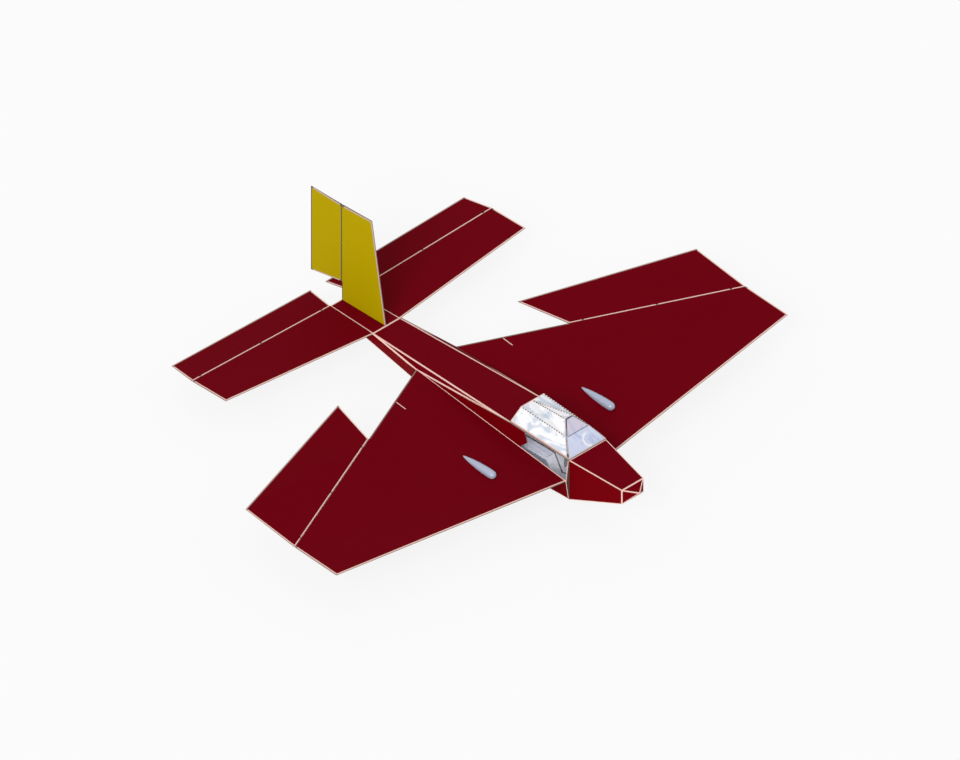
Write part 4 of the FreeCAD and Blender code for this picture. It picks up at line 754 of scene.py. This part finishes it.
def sky_sheen():
    """Painted reflection: drifting pale streaks, a colour and how much of it covers the pane."""
    group, given, made = new_group(
        "sky_sheen",
        [("Light", "Color", (0.93, 0.93, 0.95, 1)), ("Shade", "Color", (0.62, 0.69, 0.78, 1)),
         ("Size", "Float", 2.6), ("Drift", "Float", 1.6), ("Cover", "Float", 0.85),
         ("Gap", "Float", 0.1)],
        [("Color", "Color"), ("Alpha", "Float"), ("Roughness", "Float")])
    place = add(group, "TexCoord").outputs["Object"]
    stretched = add(group, "Mapping", {"Vector": place, "Scale": (1.0, 2.2, 1.6)}).outputs[0]
    cloud = add(group, "TexNoise", {"Vector": stretched, "Scale": given["Size"], "Detail": 3.0,
                                    "Roughness": 0.45, "Distortion": given["Drift"]}).outputs["Fac"]
    streak = ramp(group, cloud, 0.44, 0.60)
    thinner = maths(group, "MULTIPLY", streak, given["Gap"])
    feed(group, made, {"Color": mixed(group, streak, given["Light"], given["Shade"]),
                       "Alpha": maths(group, "SUBTRACT", given["Cover"], thinner),
                       "Roughness": maths(group, "MULTIPLY_ADD", streak, 0.06, 0.05)})


def glazed(tree, shader, sheen, colour=None):
    """A pane with a painted reflection on it, which lets most of the daylight through to the cabin.
    """
    ray = add(tree, "LightPath").outputs
    daylight = maths(tree, "MAXIMUM", ray["Is Shadow Ray"], ray["Is Diffuse Ray"])
    share = maths(tree, "MULTIPLY_ADD", daylight, -daylight_through, 1.0)
    feed(tree, shader, {"Base Color": colour or sheen.outputs["Color"],
                        "Alpha": maths(tree, "MULTIPLY", sheen.outputs["Alpha"], share),
                        "Roughness": sheen.outputs["Roughness"]})


sky_sheen()
canopy_acrylic, tree, shader = shaded("canopy_acrylic", {"Specular IOR Level": 0.3})
glazed(tree, shader, add_group(tree, "sky_sheen", {}))
dress(canopy_acrylic, "canopy_glass")

# The windscreen is two flat acrylic panes in a fixed frame, bedded in dark grey seal.
# They are tinted pinkish above the brow bar and pale blue below it, both with painted
# reflection streaks, and a curved streak of light is painted on the lower glass as a
# painted highlight.
brow_station = 1.944
brow_half_span = 0.19
frame_base_height = 0.985
glint_centre = (2.0696, 0.095, 1.0262)
glint_radius = 0.088
glint_inner, glint_outer, glint_strength = 0.004, 0.024, 0.9
glint_fade = (0.06, 0.13)
glint_colour = (0.93, 0.93, 0.96, 1)
brow_black = (0.10, 0.09, 0.10, 1)
base_brown = (0.52, 0.44, 0.41, 1)
screen_acrylic, tree, shader = shaded("screen_acrylic", {"Specular IOR Level": 0.3})
upper = add_group(tree, "sky_sheen", {"Light": (0.66, 0.60, 0.70, 1), "Shade": (0.54, 0.55, 0.70, 1),
                                      "Size": 3.0, "Cover": 0.92, "Gap": 0.05})
lower = add_group(tree, "sky_sheen", {"Light": (0.64, 0.68, 0.84, 1), "Shade": (0.52, 0.58, 0.78, 1),
                                      "Size": 3.4, "Cover": 0.88, "Gap": 0.06})
parts = parts_of(tree, "Object")
below_brow = maths(tree, "GREATER_THAN", parts["X"], brow_station)
# Painted highlight: a curved streak of light painted into the lower pane's colour.
from_glint = add(tree, "VectorMath", {0: add(tree, "TexCoord").outputs["Object"], 1: glint_centre},
                 operation="DISTANCE").outputs["Value"]
off_ring = maths(tree, "ABSOLUTE", maths(tree, "SUBTRACT", from_glint, glint_radius))
open_side = ramp(tree, parts["Y"], *glint_fade, 1.0, 0.0)
glint = maths(tree, "MULTIPLY", open_side,
              ramp(tree, off_ring, glint_inner, glint_outer, glint_strength, 0.0))
lower_tone = mixed(tree, glint, lower.outputs["Color"], glint_colour)
glazed(tree, shader, lower, mixed(tree, below_brow, upper.outputs["Color"], lower_tone))
dress(screen_acrylic, "windscreen_glass")
screen_seal, tree, shader = shaded("screen_seal", {"Specular IOR Level": 0.25, "Roughness": 0.5})
parts = parts_of(tree, "Object")
above_base = maths(tree, "GREATER_THAN", parts["Z"], frame_base_height)
in_middle = maths(tree, "LESS_THAN", maths(tree, "ABSOLUTE", parts["Y"]), brow_half_span)
brow_bar = maths(tree, "MULTIPLY", in_middle, above_base)
feed(tree, shader, {"Base Color": mixed(tree, brow_bar, base_brown, brow_black)})
dress(screen_seal, "windscreen_frame")
eased(["windscreen_frame"], width=0.001)

# The side windows are large clear sheets of acrylic with a faint grey tint and faint
# painted reflection streaks, let into the tub's sides over the wings.
side_acrylic, tree, shader = shaded("side_acrylic", {"Specular IOR Level": 0.12})
sheen = add_group(tree, "sky_sheen", {"Light": (0.86, 0.84, 0.90, 1), "Shade": (0.60, 0.60, 0.68, 1),
                                      "Size": 4.0, "Cover": 0.09, "Gap": 0.05})
glazed(tree, shader, sheen)
dress(side_acrylic, "side_windows")

# The seat is one bent sheet of pale grey moulding from the bulkhead to the floor, with
# rounded edges. Bent black tubes run along both sides of the cockpit beside it.
seat_moulding, tree, shader = shaded("seat_moulding", {"Specular IOR Level": 0.3})
wired(tree, shader, add_group(tree, "painted_cloth",
                              {"Paint": (0.70, 0.72, 0.79, 1), "Gloss": 0.5, "Mottle": 0.2,
                               "Mottle Size": 8.0, "Weave Size": 400.0}), strength=0.1)
dress(seat_moulding, "seat")
eased(["seat"], width=0.004, segments=3)
black_enamel, tree, shader = shaded("black_enamel", {"Specular IOR Level": 0.15})
wired(tree, shader, add_group(tree, "painted_cloth",
                              {"Paint": (0.006, 0.006, 0.007, 1), "Gloss": 0.4, "Mottle": 0.6,
                               "Mottle Size": 20.0, "Weave Size": 500.0}), strength=0.05)
dress(black_enamel, "cockpit_rails")
eased(["cockpit_rails"], width=0.002)

# The seat pad is one long foam cushion in pale grey cloth that follows the bend of the
# seat. Five sewn channels run up it, and its edges are rounded by the stuffing.
pad_cell = 0.006
pad_start_shrink = 0.004
pad_swell = 0.010
pad_pressure = 4
stuffing_frames = 20
channel_pitch = 0.075
channel_depth = 0.005
channel_half_width = 0.010
side_face = 0.6


def woven_cloth():
    """Cloth of crossed threads with a little fading."""
    group, given, made = new_group(
        "woven_cloth",
        [("Cloth", "Color", (0.48, 0.50, 0.60, 1)), ("Faded", "Color", (0.58, 0.60, 0.69, 1)),
         ("Threads", "Float", 260.0)], finish_outputs)
    place = add(group, "TexCoord").outputs["Object"]
    waves = []
    for direction in ("Y", "DIAGONAL"):
        wave = add(group, "TexWave", {"Vector": place, "Scale": given["Threads"],
                                      "Distortion": 0.4}, bands_direction=direction)
        waves.append(wave.outputs["Fac"])
    weave = maths(group, "MULTIPLY", *waves)
    fade = add(group, "TexNoise", {"Vector": place, "Scale": 7.0, "Detail": 5.0}).outputs["Fac"]
    shade = maths(group, "MULTIPLY_ADD", weave, 0.2, ramp(group, fade, 0.35, 0.65, 0.0, 0.8))
    feed(group, made, {"Color": mixed(group, shade, given["Cloth"], given["Faded"]),
                       "Roughness": maths(group, "MULTIPLY_ADD", weave, 0.1, 0.82),
                       "Height": weave})


def baked(piece):
    """Makes what a piece's modifiers show its own mesh."""
    seen = piece.evaluated_get(bpy.context.evaluated_depsgraph_get())
    mesh = bpy.data.meshes.new_from_object(seen)
    piece.modifiers.clear()
    piece.data = mesh


woven_cloth()
pad_cloth, tree, shader = shaded("pad_cloth", {"Sheen Weight": 0.3, "Specular IOR Level": 0.2})
wired(tree, shader, add_group(tree, "woven_cloth", {}), strength=0.4)

shape = bmesh.new()
shape.from_mesh(nodes["seat_pad"].data)
bmesh.ops.remove_doubles(shape, verts=shape.verts, dist=join_distance)
bmesh.ops.recalc_face_normals(shape, faces=shape.faces)
bmesh.ops.transform(shape, matrix=parked.inverted(), verts=shape.verts)
pad_mesh = bpy.data.meshes.new("seat_cushion")
shape.to_mesh(pad_mesh)
shape.free()
cushion = bpy.data.objects.new("seat_cushion", pad_mesh)
bpy.context.collection.objects.link(cushion)
remesh = cushion.modifiers.new("cells", "REMESH")
remesh.mode = "VOXEL"
remesh.voxel_size = pad_cell
shrink = cushion.modifiers.new("start_smaller", "DISPLACE")
shrink.strength = -pad_start_shrink
shrink.mid_level = 0
baked(cushion)
before = [vert.co.copy() for vert in cushion.data.vertices]
cloth = cushion.modifiers.new("stuffing", "CLOTH")
cloth.settings.use_pressure = True
cloth.settings.uniform_pressure_force = pad_pressure
cloth.settings.quality = 5
cloth.settings.effector_weights.gravity = 0
cloth.point_cache.frame_start = 1
cloth.point_cache.frame_end = stuffing_frames
for count in range(1, stuffing_frames + 1):
    bpy.context.scene.frame_set(count)
baked(cushion)
bpy.context.scene.frame_set(1)
for vert, start in zip(cushion.data.vertices, before):
    moved = vert.co - start
    if moved.length > pad_swell:
        vert.co = start + moved.normalized() * pad_swell
smooth = cushion.modifiers.new("finer", "SUBSURF")
smooth.levels = 1
smooth.render_levels = 1
baked(cushion)
shape = bmesh.new()
shape.from_mesh(cushion.data)
bmesh.ops.recalc_face_normals(shape, faces=shape.faces)
shape.normal_update()
moves = []
for vert in shape.verts:
    count = round(vert.co.y / channel_pitch - 0.5)
    away = abs(vert.co.y - (count + 0.5) * channel_pitch)
    if away < channel_half_width and abs(vert.normal.y) < side_face:
        depth = channel_depth * (1 + math.cos(math.pi * away / channel_half_width)) / 2
        moves.append((vert, vert.normal * -depth))
for vert, move in moves:
    vert.co += move
bpy.data.objects.remove(cushion)
cushion = settle(shape, "seat_cushion", pad_cloth, "airframe", smooth_below=60)
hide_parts("seat_pad")

# The instrument board is a sheet under the coaming with six round instruments. Each
# has a black bezel, a dark face with white marks, and a plain needle.
board_station = 4.420
dial_places = ((-0.21, -0.205, 0.040), (-0.105, -0.205, 0.040), (0.0, -0.205, 0.040),
               (0.105, -0.205, 0.040), (0.21, -0.205, 0.040), (0.0, -0.275, 0.022))
dial_marks = 20.0
mark_inner, mark_outer, mark_half_width = 0.72, 0.90, 0.10
bezel_outline = ((0.0, 1.14), (0.006, 1.14), (0.009, 1.08), (0.009, 0.99), (0.004, 0.96), (0.0, 0.96))
face_rise, needle_rise = 0.003, 0.005
needle_start, needle_spread = 0.6, 9
dial_dark = (0.012, 0.012, 0.014, 1)
dial_white = (0.75, 0.75, 0.72, 1)
board_black, tree, shader = shaded("board_black", {"Specular IOR Level": 0.3})
wired(tree, shader, add_group(tree, "painted_cloth",
                              {"Paint": (0.028, 0.028, 0.030, 1), "Gloss": 0.6, "Mottle": 0.5,
                               "Mottle Size": 14.0, "Weave Size": 260.0}), strength=0.2)
dress(board_black, "instrument_panel")
dial_face, tree, shader = shaded("dial_face", {"Roughness": 0.3, "Coat Weight": 1.0})
parts = add(tree, "SeparateXYZ", {0: add(tree, "UVMap").outputs[0]}).outputs
angle = maths(tree, "DIVIDE", maths(tree, "ARCTAN2", parts["Y"], parts["X"]), math.tau)
reach = maths(tree, "SQRT", maths(tree, "ADD", maths(tree, "POWER", parts["X"], 2.0),
                                  maths(tree, "POWER", parts["Y"], 2.0)))
turn = maths(tree, "FRACT", maths(tree, "MULTIPLY", angle, dial_marks))
tick = maths(tree, "ABSOLUTE", maths(tree, "SUBTRACT", turn, 0.5))
ring = maths(tree, "MULTIPLY", maths(tree, "GREATER_THAN", reach, mark_inner),
             maths(tree, "LESS_THAN", reach, mark_outer))
white_marks = maths(tree, "MULTIPLY", maths(tree, "LESS_THAN", tick, mark_half_width), ring)
feed(tree, shader, {"Base Color": mixed(tree, white_marks, dial_dark, dial_white)})
bezels = bmesh.new()
faces = bmesh.new()
needles = bmesh.new()
marks_layer = faces.loops.layers.uv.new("UVMap")
for half_span, height, radius in dial_places:
    centre = Vector((board_station, half_span, height))
    bezel = [(rise, radius * share) for rise, share in bezel_outline]
    turned(bezels, centre, -forwards, upwards, bezel, steps=40, closed=True)
    disc = bmesh.ops.create_circle(faces, cap_ends=True, segments=40, radius=radius * 0.97,
                                   matrix=Matrix.Translation(centre - forwards * face_rise)
                                   @ Matrix.Rotation(-math.pi / 2, 4, "Y"))
    for face in {face for vert in disc["verts"] for face in vert.link_faces}:
        for loop in face.loops:
            off = loop.vert.co - centre
            loop[marks_layer].uv = (off.y / radius, off.z / radius)
    bmesh.ops.create_cone(needles, cap_ends=True, segments=4, radius1=radius * 0.05,
                          radius2=radius * 0.012, depth=radius * 1.1,
                          matrix=Matrix.Translation(centre - forwards * needle_rise)
                          @ Matrix.Rotation(half_span * needle_spread + needle_start, 4, "X")
                          @ Matrix.Translation((0, 0, radius * 0.3)))
settle(bezels, "dial_bezels", black_enamel, "airframe")
settle(faces, "dial_faces", dial_face, "airframe")
needle_paint, tree, shader = shaded("needle_paint", {})
wired(tree, shader, add_group(tree, "painted_cloth", {"Paint": (0.75, 0.74, 0.70, 1)}), strength=0.02)
settle(needles, "dial_needles", needle_paint, "airframe")

# The stick is a black tube with a moulded grip, and stands in a ribbed rubber boot on
# the floor. The rudder pedals are black plates on a cross bar in the nose.
dress(black_enamel, "rudder_pedals", "control_stick")
eased(["rudder_pedals"], width=0.0025)
eased(["control_stick"], width=0.002)
stick_foot = Vector((4.240, 0, -0.749))
boot_outline = ((0.0285, 0.046), (0.034, 0.0465), (0.040, 0.041), (0.046, 0.0415),
                (0.053, 0.035), (0.059, 0.0355), (0.066, 0.029), (0.072, 0.0295),
                (0.079, 0.023), (0.085, 0.0235), (0.092, 0.0165), (0.100, 0.0125),
                (0.100, 0.0112), (0.0285, 0.0112))
shape = bmesh.new()
turned(shape, stick_foot, upwards, forwards, boot_outline, steps=40, closed=True)
settle(shape, "stick_boot", tyre_rubber, "airframe")
